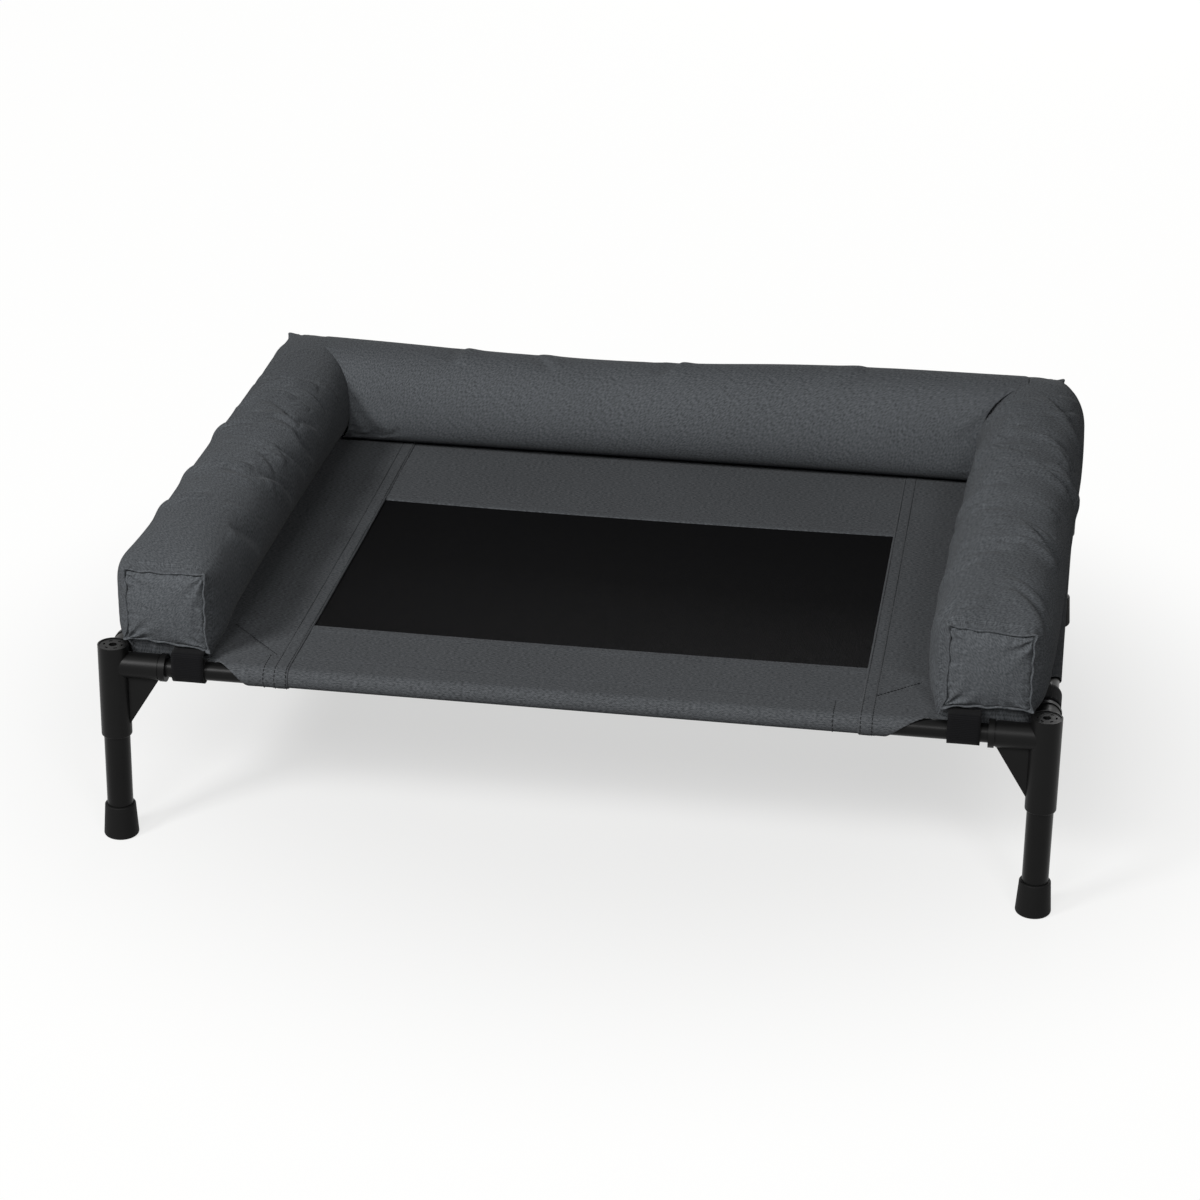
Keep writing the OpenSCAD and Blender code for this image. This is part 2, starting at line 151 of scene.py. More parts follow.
@dataclass
class Surface:
    """Quads over points, with a UV pair in metres for each corner of each quad."""

    points: Array
    quads: Array
    corner_uv: Array

    @classmethod
    def grid(cls, points: Array, uv: Array, ring: bool = False) -> Surface:
        """Covers a grid of points with quads.

        Args:
            points: Shape (rows, columns, 3).
            uv: Shape (rows, columns, 2), or one column more where the rows are rings.
            ring: Whether the last column joins the first.
        Returns:
            The surface.
        """
        rows, columns = points.shape[:2]
        i, j = np.meshgrid(np.arange(rows - 1), np.arange(columns - (not ring)), indexing="ij")
        k = (j + 1) % columns
        around = ((i, j), (i, k), (i + 1, k), (i + 1, j))
        quads = np.stack([row * columns + column for row, column in around], -1)
        corners = np.stack([uv[i, j], uv[i, j + 1], uv[i + 1, j + 1], uv[i + 1, j]], 2)
        return cls(points.reshape(-1, 3), quads.reshape(-1, 4), corners.reshape(-1, 4, 2))

    @classmethod
    def joined(cls, parts: list[Surface]) -> Surface:
        """Several surfaces as one, in the order given."""
        starts = np.cumsum([0] + [len(part.points) for part in parts[:-1]])
        return cls(
            np.concatenate([part.points for part in parts]),
            np.concatenate([part.quads + start for part, start in zip(parts, starts)]),
            np.concatenate([part.corner_uv for part in parts]),
        )

    def flipped(self) -> Surface:
        """The same surface with its faces turned over."""
        return Surface(self.points, self.quads[:, ::-1], self.corner_uv[:, ::-1])

    def welded(self) -> tuple[Surface, Array]:
        """The surface with points in the same place merged, and the new index of each old point."""
        rounded = np.round(self.points, 7)
        _, first, index = np.unique(rounded, axis=0, return_index=True, return_inverse=True)
        index = index.reshape(-1)
        return Surface(self.points[first], index[self.quads], self.corner_uv), index

    def area(self) -> float:
        """Total area of the quads, as half the size of the cross product of their diagonals."""
        a, b, c, d = (self.points[self.quads[:, k]] for k in range(4))
        return float(np.linalg.norm(np.cross(c - a, d - b), axis=1).sum() / 2.0)

    def to_object(self, name: str, material: bpy.types.Material | None = None) -> bpy.types.Object:
        """Makes a smooth-shaded mesh object at the origin.

        Args:
            name: Name of the object.
            material: Its finish, if it has one yet.
        Returns:
            The linked object.
        """
        mesh = bpy.data.meshes.new(name)
        mesh.from_pydata(self.points.tolist(), [], self.quads.tolist())
        layer = mesh.uv_layers.new(name="cloth")
        layer.data.foreach_set("uv", self.corner_uv.astype(np.float32).ravel())
        mesh.shade_smooth()
        if material:
            mesh.materials.append(material)
        obj = bpy.data.objects.new(name, mesh)
        bpy.context.scene.collection.objects.link(obj)
        return obj


def add_piece(
    surface: Surface,
    name: str,
    material: bpy.types.Material,
    nodes: tuple[str, ...] = (),
    thickness: float = 0.0,
) -> bpy.types.Object:
    """Adds a piece that rides on the frame body.

    Args:
        surface: Its shape.
        name: Its name.
        material: Its finish.
        nodes: CAD nodes that it stands for.
        thickness: Cloth thickness that Solidify gives it, or 0 for a closed form.
    Returns:
        The object.
    """
    obj = surface.to_object(name, material)
    if thickness:
        wall = obj.modifiers.new("cloth_thickness", "SOLIDIFY")
        wall.thickness = thickness
        wall.offset = 0.0
    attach(obj, "frame")
    if nodes:
        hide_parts(*nodes)
    LOG.info("%s: %d points, %d quads", name, len(surface.points), len(surface.quads))
    return obj


class NodeBoard:
    """Shorthand for the nodes of one principled material."""

    def __init__(self, name: str) -> None:
        """Starts a material with a principled shader and an output."""
        self.material = bpy.data.materials.new(name)
        self.material.use_nodes = True
        self.tree = self.material.node_tree
        self.tree.nodes.clear()
        self.output = self.add("ShaderNodeOutputMaterial")
        self.shader = self.add("ShaderNodeBsdfPrincipled")
        self.link(self.shader, "BSDF", self.output, "Surface")

    def add(
        self,
        kind: str,
        values: dict | None = None,
        at: bpy.types.NodeSocket | None = None,
        **settings: object,
    ) -> bpy.types.Node:
        """Adds a node.

        Args:
            kind: Blender's name for the node type.
            values: Values for its input sockets, by name or number.
            at: Socket that gives its vector.
            settings: Properties of the node.
        Returns:
            The node.
        """
        node = self.tree.nodes.new(kind)
        if at:
            self.tree.links.new(at, node.inputs["Vector"])
        for key, value in settings.items():
            setattr(node, key, value)
        for key, value in (values or {}).items():
            node.inputs[key].default_value = value
        return node

    def link(self, source: bpy.types.Node, out: str | int, target: bpy.types.Node, into: str | int) -> None:
        """Links an output socket to an input socket."""
        self.tree.links.new(source.outputs[out], target.inputs[into])

    def constant(self, **values: object) -> None:
        """Sets the shader's own sockets, with underscores for spaces in their names."""
        for key, value in values.items():
            self.shader.inputs[key.replace("_", " ")].default_value = value

    def cloth_uv(self) -> bpy.types.NodeSocket:
        """The piece's own UV map, in metres."""
        return self.add("ShaderNodeUVMap", uv_map="cloth").outputs["UV"]

    def mix(self, first: bpy.types.Node, second: bpy.types.Node, share: float = 0.5) -> bpy.types.Node:
        """Mixes the factors or results of two nodes, by the share of the second."""
        node = self.add("ShaderNodeMix", {0: share}, data_type="FLOAT")
        for number, source in ((2, first), (3, second)):
            self.link(source, "Fac" if "Fac" in source.outputs else 0, node, number)
        return node

    def paint(
        self, source: bpy.types.Node, out: str | int, dark: Colour, light: Colour, ends: Range = (0.0, 1.0)
    ) -> None:
        """Colours the shader from a dark to a light one, by a value that runs between two ends."""
        node = self.add("ShaderNodeValToRGB")
        for stop, colour, place in zip(node.color_ramp.elements, (dark, light), ends):
            stop.color = (*colour, 1.0)
            stop.position = place
        self.link(source, out, node, "Fac")
        self.link(node, "Color", self.shader, "Base Color")

    def roughen(self, source: bpy.types.Node, out: str, low: float, high: float) -> None:
        """Spreads a value from 0 to 1 over a range of roughness."""
        node = self.add("ShaderNodeMapRange", {"To Min": low, "To Max": high})
        self.link(source, out, node, "Value")
        self.link(node, "Result", self.shader, "Roughness")

    def bump(self, source: bpy.types.Node, out: str | int, strength: float, height: float) -> None:
        """Turns a relief of a height in metres into the shader's normal."""
        node = self.add("ShaderNodeBump", {"Strength": strength, "Distance": height})
        self.link(source, out, node, "Height")
        self.link(node, "Normal", self.shader, "Normal")


@dataclass(frozen=True)
class WovenCloth:
    """Plain-woven polyester: over-and-under yarns with a flecked colour."""

    name: str
    dark: Colour
    light: Colour
    pitch: float = 0.0010
    slant: float = 0.0
    streak: float = 0.0010
    roughness: float = 0.72
    sheen: float = 0.04
    gloss: float = 0.0
    relief: float = 0.00012

    def material(self) -> bpy.types.Material:
        """Builds the material on the piece's own UV map, where one yarn is one unit."""
        board = NodeBoard(self.name)
        uv = board.cloth_uv()
        size = 1.0 / self.pitch
        yarns = board.add("ShaderNodeMapping", {
            "Location": (0.0, 0.0, 0.5), "Rotation": (0.0, 0.0, self.slant), "Scale": (size, size, 1.0),
        }, uv).outputs["Vector"]
        wave = {"Scale": UNIT_WAVE}
        warp = board.add("ShaderNodeTexWave", wave, yarns, bands_direction="X")
        weft = board.add("ShaderNodeTexWave", wave, yarns, bands_direction="Y")
        cross = board.add("ShaderNodeTexChecker", {"Scale": 1.0}, yarns)
        twill = board.add("ShaderNodeMapping", {
            "Rotation": (0.0, 0.0, np.pi / 4.0 + self.slant),
            "Scale": (self.streak, 3.0 * self.streak, 1.0),
        }, uv, vector_type="TEXTURE").outputs["Vector"]
        noise = board.add("ShaderNodeTexNoise", {"Scale": 1.0, "Detail": 1.0, "Roughness": 0.5}, twill)
        fleck = board.add("ShaderNodeMapRange", {"From Min": 0.3, "From Max": 0.7})
        board.link(noise, "Fac", fleck, "Value")
        drift = board.add("ShaderNodeTexNoise", {"Scale": 9.0, "Detail": 2.0}, uv)
        weave = board.mix(warp, weft)
        board.link(cross, "Fac", weave, 0)
        tone = board.mix(weave, fleck)
        board.paint(board.mix(tone, drift, 0.12), 0, self.dark, self.light, (0.15, 0.85))
        board.roughen(fleck, "Result", self.roughness - 0.1, self.roughness + 0.1)
        board.bump(tone, 0, 0.7, self.relief)
        board.constant(Sheen_Weight=self.sheen, Sheen_Roughness=0.45, Specular_IOR_Level=self.gloss)
        return board.material


@dataclass(frozen=True)
class HoleMesh:
    """Black coated mesh on an opaque sheet: rows of small openings, painted near-black as painted shade,
    between glossy strands.
    """

    name: str
    strand: Colour
    hole_shade: Colour
    pitch: float = 0.0016

    def material(self) -> bpy.types.Material:
        """Builds the material on the piece's own UV map."""
        board = NodeBoard(self.name)
        size = 1.0 / self.pitch
        turn = {"Scale": (size, size, 1.0), "Rotation": (0.0, 0.0, np.pi / 4.0)}
        cells = board.add("ShaderNodeMapping", turn, board.cloth_uv()).outputs["Vector"]
        rows = {"Scale": 1.0, "Randomness": 0.0}
        dots = board.add("ShaderNodeTexVoronoi", rows, cells, voronoi_dimensions="2D")
        solid = board.add("ShaderNodeMapRange", {"From Min": 0.22, "From Max": 0.42})
        board.link(dots, "Distance", solid, "Value")
        # Painted shade: the openings get the near-black hole colour, and the strands get the strand colour.
        board.paint(solid, "Result", self.hole_shade, self.strand)
        board.roughen(solid, "Result", 0.9, 0.55)
        board.bump(solid, "Result", 0.6, 0.0003)
        board.constant(Specular_IOR_Level=0.015)
        return board.material


@dataclass(frozen=True)
class SolidFinish:
    """Paint, moulded plastic or rubber: a dark base with a fine grain."""

    name: str
    dark: Colour
    light: Colour
    roughness: float
    grain: float
    relief: float
    gloss: float = 0.15

    def material(self) -> bpy.types.Material:
        """Builds the material on object coordinates."""
        board = NodeBoard(self.name)
        place = board.add("ShaderNodeTexCoord").outputs["Object"]
        fine = {"Scale": 1.0 / self.grain, "Detail": 3.0, "Roughness": 0.6}
        grain = board.add("ShaderNodeTexNoise", fine, place)
        cloud = board.add("ShaderNodeTexNoise", {"Scale": 24.0, "Detail": 4.0}, place)
        board.paint(cloud, "Fac", self.dark, self.light)
        board.roughen(cloud, "Fac", self.roughness - 0.08, self.roughness + 0.08)
        board.bump(grain, "Fac", 0.4, self.relief)
        board.constant(Specular_IOR_Level=self.gloss)
        return board.material


@dataclass(frozen=True)
class RibbedWebbing:
    """Narrow black webbing: cross ribs along its length and a fuzzy face."""

    name: str
    dark: Colour
    light: Colour
    rib: float = 0.0016

    def material(self) -> bpy.types.Material:
        """Builds the material on the piece's own UV map, with v along the strap."""
        board = NodeBoard(self.name)
        uv = board.cloth_uv()
        rows = {"Scale": UNIT_WAVE / self.rib, "Distortion": 0.6}
        ribs = board.add("ShaderNodeTexWave", rows, uv, bands_direction="Y")
        fuzz = board.add("ShaderNodeTexNoise", {"Scale": 1500.0, "Detail": 3.0}, uv)
        mix = board.mix(ribs, fuzz)
        board.paint(mix, 0, self.dark, self.light)
        board.roughen(fuzz, "Fac", 0.75, 0.95)
        board.bump(mix, 0, 0.7, 0.0003)
        board.constant(Sheen_Weight=0.03, Sheen_Roughness=0.5, Specular_IOR_Level=0.05)
        return board.material


BOLSTER_CLOTH = WovenCloth("bolster_cloth", (0.030, 0.0322, 0.0348), (0.122, 0.1306, 0.1400))
SLING_CLOTH = WovenCloth("sling_cloth", (0.026, 0.0276, 0.0294), (0.104, 0.1100, 0.1170), slant=np.pi / 4.0)
# The second colour is the painted shade inside the mesh's openings.
MESH_CLOTH = HoleMesh("mesh_cloth", (0.0042, 0.0042, 0.0046), (0.0006, 0.0006, 0.0006))
THREAD = SolidFinish("sewing_thread", (0.040, 0.043, 0.047), (0.066, 0.070, 0.076), 0.6, 0.0004, 0.00005)
DARK_THREAD = SolidFinish(
    "dark_thread", (0.007, 0.0074, 0.008), (0.016, 0.017, 0.018), 0.7, 0.0004, 0.00005
)
TUBE_PAINT = SolidFinish(
    "tube_paint", (0.0030, 0.0030, 0.0030), (0.0052, 0.0052, 0.0052), 0.32, 0.0007, 0.00003, 0.11
)
CORNER_PLASTIC = SolidFinish(
    "corner_plastic", (0.0036, 0.0036, 0.0036), (0.0060, 0.0060, 0.0060), 0.38, 0.0005, 0.00005, 0.11
)
FOOT_RUBBER = SolidFinish(
    "foot_rubber", (0.0044, 0.0044, 0.0044), (0.0075, 0.0075, 0.0075), 0.60, 0.0006, 0.00006, 0.09
)
STRAP_WEBBING = RibbedWebbing("strap_webbing", (0.0030, 0.0030, 0.0034), (0.0085, 0.0085, 0.0094))
FIBRE = SolidFinish("fibre_filling", (0.62, 0.61, 0.58), (0.82, 0.81, 0.78), 0.9, 0.004, 0.002)


@dataclass
class Studio:
    """White studio: a pale floor, lamps in front and a weaker one behind, and the photograph's view."""

    yaw: float = 8.37
    pitch: float = 23.99
    roll: float = 0.89
    place: Point = (0.3913, -2.7998, 1.3804)
    lens: float = 101.63
    sensor: float = 36.0
    floor_half: float = 12.0
    near_glow: float = 0.60
    far_glow: float = 0.985
    near_floor: float = 0.25
    far_floor: float = 0.75
    even_light: float = 0.06
    backdrop: float = 0.98
    aim: Point = (0.0, 0.0, 0.2)

    def build(self) -> None:
        """Makes the camera, floor, world and lamps."""
        bpy.context.scene.view_settings.view_transform = "Standard"
        self.camera()
        self.floor()
        self.world()
        self.lamp("left_lamp", (-1.75, -2.3, 2.3), 0.7, 90.0)
        self.lamp("right_lamp", (1.4, -3.2, 2.6), 0.8, 42.0)
        self.lamp("front_lamp", (-0.6, -3.4, 2.7), 1.2, 58.0)
        self.lamp("back_lamp", (0.3, 3.5, 0.70), 1.2, 50.0)

    def camera(self) -> None:
        """Sets the camera from its turn about the vertical, its tilt down and its roll."""
        yaw, pitch, roll = np.radians([self.yaw, self.pitch, self.roll])
        level_right = np.array([np.cos(yaw), np.sin(yaw), 0.0])
        ahead = np.array([-np.sin(yaw), np.cos(yaw), 0.0])
        vertical = np.array([0.0, 0.0, 1.0])
        forward = ahead * np.cos(pitch) - vertical * np.sin(pitch)
        level_up = ahead * np.sin(pitch) + vertical * np.cos(pitch)
        right = level_right * np.cos(roll) + level_up * np.sin(roll)
        up = level_up * np.cos(roll) - level_right * np.sin(roll)
        world = np.eye(4)
        world[:3] = np.stack([right, up, -forward, np.array(self.place)], axis=1)
        data = bpy.data.cameras.new("viewpoint")
        data.sensor_width = self.sensor
        data.lens = self.lens
        obj = bpy.data.objects.new("viewpoint", data)
        obj.matrix_world = Matrix(world.tolist())
        bpy.context.scene.collection.objects.link(obj)
        bpy.context.scene.camera = obj

    def seen(self, tree: bpy.types.NodeTree) -> bpy.types.NodeSocket:
        """Adds nodes that give 1 for rays from the camera, reflections and glass, and 0 for light.

        Args:
            tree: Node tree that gets them.
        Returns:
            The socket that gives it.
        """
        path = tree.nodes.new("ShaderNodeLightPath")
        result = path.outputs["Is Camera Ray"]
        for kind in ("Is Glossy Ray", "Is Transmission Ray"):
            either = tree.nodes.new("ShaderNodeMath")
            either.operation = "MAXIMUM"
            tree.links.new(result, either.inputs[0])
            tree.links.new(path.outputs[kind], either.inputs[1])
            result = either.outputs[0]
        return result

    def floor(self) -> None:
        """Lays a pale floor that gets part of its seen white from itself and throws back little light."""
        half = np.linspace(-self.floor_half, self.floor_half, 3)
        x, y = np.meshgrid(half, half)
        points = np.stack([x, y, np.zeros_like(x)], -1)
        board = NodeBoard("studio_floor")
        board.constant(Base_Color=(0.66, 0.66, 0.655, 1.0), Roughness=0.9, Specular_IOR_Level=0.1)
        dim = board.add("ShaderNodeBsdfDiffuse", {"Color": (0.30, 0.30, 0.30, 1.0)})
        kind = board.add("ShaderNodeMixShader")
        glow = board.add("ShaderNodeEmission", {"Color": (1.0, 1.0, 0.995, 1.0), "Strength": 1.0})
        mix = board.add("ShaderNodeMixShader")
        place = board.add("ShaderNodeTexCoord")
        away = board.add("ShaderNodeVectorMath", operation="LENGTH")
        whiter = board.add("ShaderNodeMapRange", {
            "From Min": self.near_floor, "From Max": self.far_floor,
            "To Min": self.near_glow, "To Max": self.far_glow,
        }, interpolation_type="SMOOTHSTEP")
        board.link(place, "Object", away, 0)
        board.link(away, "Value", whiter, "Value")
        board.link(whiter, "Result", mix, 0)
        board.link(board.shader, 0, mix, 1)
        board.link(glow, 0, mix, 2)
        board.tree.links.new(self.seen(board.tree), kind.inputs[0])
        board.link(dim, 0, kind, 1)
        board.link(mix, 0, kind, 2)
        board.link(kind, 0, board.output, "Surface")
        Surface.grid(points, points[..., :2]).to_object("studio_floor", board.material)

    def world(self) -> None:
        """Lights the scene evenly and shows white to the camera and to reflections."""
        world = bpy.data.worlds.new("studio")
        world.use_nodes = True
        tree = world.node_tree
        even = tree.nodes["Background"]
        even.inputs["Color"].default_value = (1.0, 1.0, 1.0, 1.0)
        even.inputs["Strength"].default_value = self.even_light
        white = tree.nodes.new("ShaderNodeBackground")
        white.inputs["Color"].default_value = (1.0, 1.0, 0.995, 1.0)
        white.inputs["Strength"].default_value = self.backdrop
        mix = tree.nodes.new("ShaderNodeMixShader")
        tree.links.new(self.seen(tree), mix.inputs[0])
        tree.links.new(even.outputs[0], mix.inputs[1])
        tree.links.new(white.outputs[0], mix.inputs[2])
        tree.links.new(mix.outputs[0], tree.nodes["World Output"].inputs["Surface"])
        bpy.context.scene.world = world

    def lamp(self, name: str, place: Point, size: float, power: float) -> None:
        """Hangs a square soft lamp that faces the cot.

        Args:
            name: Its name.
            place: Where it hangs.
            size: Its side.
            power: Its power in watts.
        """
        data = bpy.data.lights.new(name, "AREA")
        data.size = size
        data.energy = power
        obj = bpy.data.objects.new(name, data)
        obj.location = place
        obj.rotation_euler = (Vector(self.aim) - Vector(place)).to_track_quat("-Z", "Y").to_euler()
        bpy.context.scene.collection.objects.link(obj)


@dataclass
class CotFrame:
    """Tubes, corner fittings and feet, which keep their CAD shapes."""

    rails: tuple[str, ...] = ("front_rail", "back_rail", "left_rail", "right_rail")

    def dress(self) -> None:
        """Gives each rigid node its finish."""
        corners = [f"{end.word}_{side.word}" for end in End for side in Side]
        finishes = {
            TUBE_PAINT: [*self.rails, *(f"{corner}_leg" for corner in corners)],
            CORNER_PLASTIC: [f"{corner}_corner" for corner in corners],
            FOOT_RUBBER: [f"{corner}_foot" for corner in corners],
        }
        for finish, nodes in finishes.items():
            material = finish.material()
            for node in nodes:
                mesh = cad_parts[node].data
                mesh.materials.clear()
                mesh.materials.append(material)
                LOG.info("%s: %s", node, finish.name)


@dataclass(frozen=True)
class SleevePath:
    """Route of a cloth edge over a rail: level inside it, round it, then straight up to its sewn line."""

    radius: float
    sewn: float = 0.021
    flap: float = 0.006
    tuck: float = 0.0009

    @property
    def rise(self) -> float:
        """Height of the sewn line above the rail's axis."""
        return self.radius - self.tuck

    @property
    def leave(self) -> float:
        """Angle past the top at which the cloth leaves the rail, on its tangent to the sewn line."""
        reach = np.hypot(self.sewn, self.rise)
        return 2.0 * np.pi - np.arctan2(self.sewn, self.rise) - np.arccos(self.radius / reach)

    @property
    def run(self) -> float:
        """Length of the straight part."""
        return float(np.sqrt(self.sewn ** 2 + self.rise ** 2 - self.radius ** 2))

    @property
    def length(self) -> float:
        """Cloth beyond the rail's axis: the arc, the straight part and the flap."""
        return self.radius * self.leave + self.run + self.flap

    def place(self, beyond: Array, lift: Array) -> tuple[Array, Array]:
        """Offsets from the rail's axis of cloth at a flat distance beyond it.

        Inside the axis the cloth is level at the radius. Beyond it the distance turns by distance over
        radius round the rail, then follows the tangent, and last runs level under the panel.

        Args:
            beyond: Flat distance past the axis, negative inside it.
            lift: Height of the point off the middle of the cloth.
        Returns:
            Outward and upward offsets.
        """
        arc = self.radius * self.leave
        turn = np.clip(beyond / self.radius, 0.0, self.leave)
        past = np.clip(beyond - arc, 0.0, self.run)
        tail = np.maximum(beyond - arc - self.run, 0.0)
        out = np.minimum(beyond, 0.0) + (self.radius + lift) * np.sin(turn) + past * np.cos(turn) - tail
        up = (self.radius + lift) * np.cos(turn) - past * np.sin(turn)
        return out, up


@dataclass(frozen=True)
class CornerCut:
    """Cut of a side panel across its corners: where it meets a rail, its slope there, its fill inside."""

    start: float
    slope: float
    fill: float


@dataclass
class Sling:
    """Taut lying surface: two side panels, a front and a back border and a mesh window, lapped and sewn."""

    half_x: float = RAIL_X
    half_y: float = RAIL_Y
    rail_z: float = RAIL_Z
    side_radius: float = 0.00935
    border_radius: float = 0.0085
    mesh_radius: float = 0.0076
    cloth: float = 0.0008
    mesh_cloth: float = 0.0005
    sag: float = 0.0045
    side_edge: float = 0.239
    front_edge: float = -0.205
    back_edge: float = 0.089
    lap: float = 0.0115
    seam_rows: Range = (0.0018, 0.0115)
    row_depth: float = 0.00035
    row_width: float = 0.0008
    hem_lift: float = 0.0004
    hem_roll: float = 0.0006
    hem_edge: float = 0.0010
    hem_fade: Range = (0.0118, 0.0150)
    draw_depth: float = 0.0003
    draw_width: float = 0.0010
    left_cut: CornerCut = CornerCut(start=0.092, slope=0.80, fill=0.006)
    right_cut: CornerCut = CornerCut(start=0.097, slope=0.61, fill=0.009)
    inner_slope: float = 0.5
    fill_range: Range = (-0.060, -0.020)
    side_turn: float = 0.031
    side_slowing: float = 6.0
    front_turn: float = 0.024
    front_steepening: float = 5.0
    front_blend: float = 0.003
    droop_depth: float = 0.0042
    droop_reach: float = 0.010
    droop_from_rail: float = 0.020
    droop_to_rail: Range = (-0.010, 0.001)
    left_dart: tuple[Place, Place] = ((0.2553, -0.2732), (0.3099, -0.2126))
    right_dart: tuple[Place, Place] = ((0.2425, -0.2687), (0.2924, -0.2223))
    dart_depth: float = 0.0009
    dart_width: float = 0.0014
    dart_fold: Place = (0.052, 0.018)
    fold_lift: float = 0.0024
    fold_width: float = 0.0060
    side_row: float = 0.180
    end_row: Range = (0.2515, 0.280)
    border_row_inset: float = 0.001
    row_past_rail: float = 0.026
    left_end_row: float = -0.2600
    right_end_row: float = 0.2180
    hem_thread_lift: float = 0.0003
    stitch: float = 0.0026
    stitch_gap: float = 0.0009
    thread: float = 0.00036

    def place(self, x: Array, y: Array, lift: Array, radius: float) -> Array:
        """Folds flat cloth over the rails and lets it sag.

        Past a rail's axis the cloth follows SleevePath. Inside, it sags by a share that falls as
        1 - (x / half_x)^2 and 1 - (y / half_y)^2 towards the rails.

        Args:
            x: Flat distance from the middle across the cot.
            y: Flat distance from the middle along its depth.
            lift: Height off the middle of the cloth.
            radius: Radius of the middle of the cloth around a rail.
        Returns:
            Points.
        """
        path = SleevePath(radius)
        out_x, up_x = path.place(np.abs(x) - self.half_x, lift)
        out_y, up_y = path.place(np.abs(y) - self.half_y, lift)
        px = np.sign(x) * (self.half_x + out_x)
        py = np.sign(y) * (self.half_y + out_y)
        share_x = np.clip(1.0 - (px / self.half_x) ** 2, 0.0, 1.0)
        share_y = np.clip(1.0 - (py / self.half_y) ** 2, 0.0, 1.0)
        pz = self.rail_z + up_x + up_y - radius - lift - self.sag * share_x * share_y
        return np.stack(np.broadcast_arrays(px, py, pz), -1)

    def hem(self, inside: Array) -> Array:
        """Relief of a folded hem: a raised band with a rolled edge, drawn down along its sewn rows.

        Args:
            inside: Distance from the folded edge into the panel.
        Returns:
            Lift of the cloth.
        """
        risen = smooth_step(0.0, self.hem_edge, inside)
        band = self.hem_lift * risen * (1.0 - smooth_step(*self.hem_fade, inside))
        roll = -self.hem_roll * (1.0 - risen)
        rows = sum(np.exp(-((inside - row) / self.row_width) ** 2) for row in self.seam_rows)
        return band + roll - self.row_depth * rows

    def sleeve_draw(self, x: Array, y: Array) -> Array:
        """Relief along the sewn lines that close the sleeves: a narrow valley beside each rail."""
        sewn = SleevePath(self.side_radius).sewn
        front = np.exp(-((np.abs(y) - self.half_y + sewn) / self.draw_width) ** 2)
        sides = np.exp(-((np.abs(x) - self.half_x + sewn) / self.draw_width) ** 2)
        return -self.draw_depth * (front + sides)

    def ridge(self, x: Array, y: Array, start: Place, end: Place, width: float) -> Array:
        """Height from 0 to 1 of a ridge that falls as a bell curve with the distance from a flat line.

        Args:
            x: Flat distance from the middle across the cot, on one side.
            y: Flat distance from the middle along its depth.
            start: First end of the line.
            end: Last end of the line.
            width: Distance at which the ridge has fallen to a third.
        Returns:
            The height.
        """
        step = np.subtract(end, start)
        ax, ay = np.abs(x) - start[0], y - start[1]
        along = np.clip((ax * step[0] + ay * step[1]) / (step @ step), 0.0, 1.0)
        away = np.hypot(ax - along * step[0], ay - along * step[1])
        return np.exp(-(away / width) ** 2)

    def dart(self, x: Array, y: Array, side: Side) -> Array:
        """Relief of the dart that runs from the front sleeve's line out and back under the arm.

        A sewn valley follows the dart, and a soft fold leaves its far end towards the middle of the cot.

        Args:
            x: Flat distance from the middle across the cot.
            y: Flat distance from the middle along its depth.
            side: Which panel.
        Returns:
            Lift of the cloth.
        """
        foot, top = self.left_dart if side is Side.LEFT else self.right_dart
        tip = (top[0] - self.dart_fold[0], top[1] + self.dart_fold[1])
        fold = self.ridge(x, y, top, tip, self.fold_width) * smooth_step(tip[0], top[0], np.abs(x))
        return self.fold_lift * fold - self.dart_depth * self.ridge(x, y, foot, top, self.dart_width)

    def corner_cut(self, side: Side) -> CornerCut:
        """The cut of a side's corners."""
        return self.left_cut if side is Side.LEFT else self.right_cut

    def edge_y(self, end: End) -> float:
        """Depth of the mesh's visible edge at an end."""
        return self.front_edge if end is End.FRONT else self.back_edge

    def reach_y(self, inside: Array, side: Side) -> Array:
        """Flat half depth of a side panel where it is a distance inside its rail.

        Inside the front rail the flat cloth is cut across the corner by inner_slope, or at 45 degrees with
        its fill where that is less. Round the rail it is cut by the cut's own slope, and past front_turn its
        edge steepens along a softplus curve. Past side_turn, round the side rail, it slows down.

        Args:
            inside: Distance inside the side rail's axis, negative round the rail.
            side: Which panel.
        Returns:
            The half depth.
        """
        cut, turn = self.corner_cut(side), self.side_turn
        past = np.maximum(inside, -turn) + np.minimum(inside + turn, 0.0) / self.side_slowing - cut.start
        full = np.minimum(self.inner_slope * past, past + cut.fill * smooth_step(*self.fill_range, past))
        wound = cut.slope * past
        steep = np.logaddexp(0.0, (wound - self.front_turn) / self.front_blend)
        wound = wound + self.front_steepening * self.front_blend * steep
        past = np.where(past < 0.0, full, wound)
        return self.half_y + np.minimum(past, SleevePath(self.side_radius).length)

    def droop(self, inside: Array, spare: Array, side: Side) -> Array:
        """Relief of the free cut edge between two rails: it sinks, by exp(-distance / droop_reach).

        Args:
            inside: Distance inside the side rail's axis.
            spare: Flat distance from the cut edge.
            side: Which panel.
        Returns:
            Lift of the cloth.
        """
        beyond = smooth_step(*self.droop_to_rail, inside - self.corner_cut(side).start)
        free = smooth_step(0.0, self.droop_from_rail, inside) * (1.0 - beyond)
        return -self.droop_depth * free * np.exp(-spare / self.droop_reach)

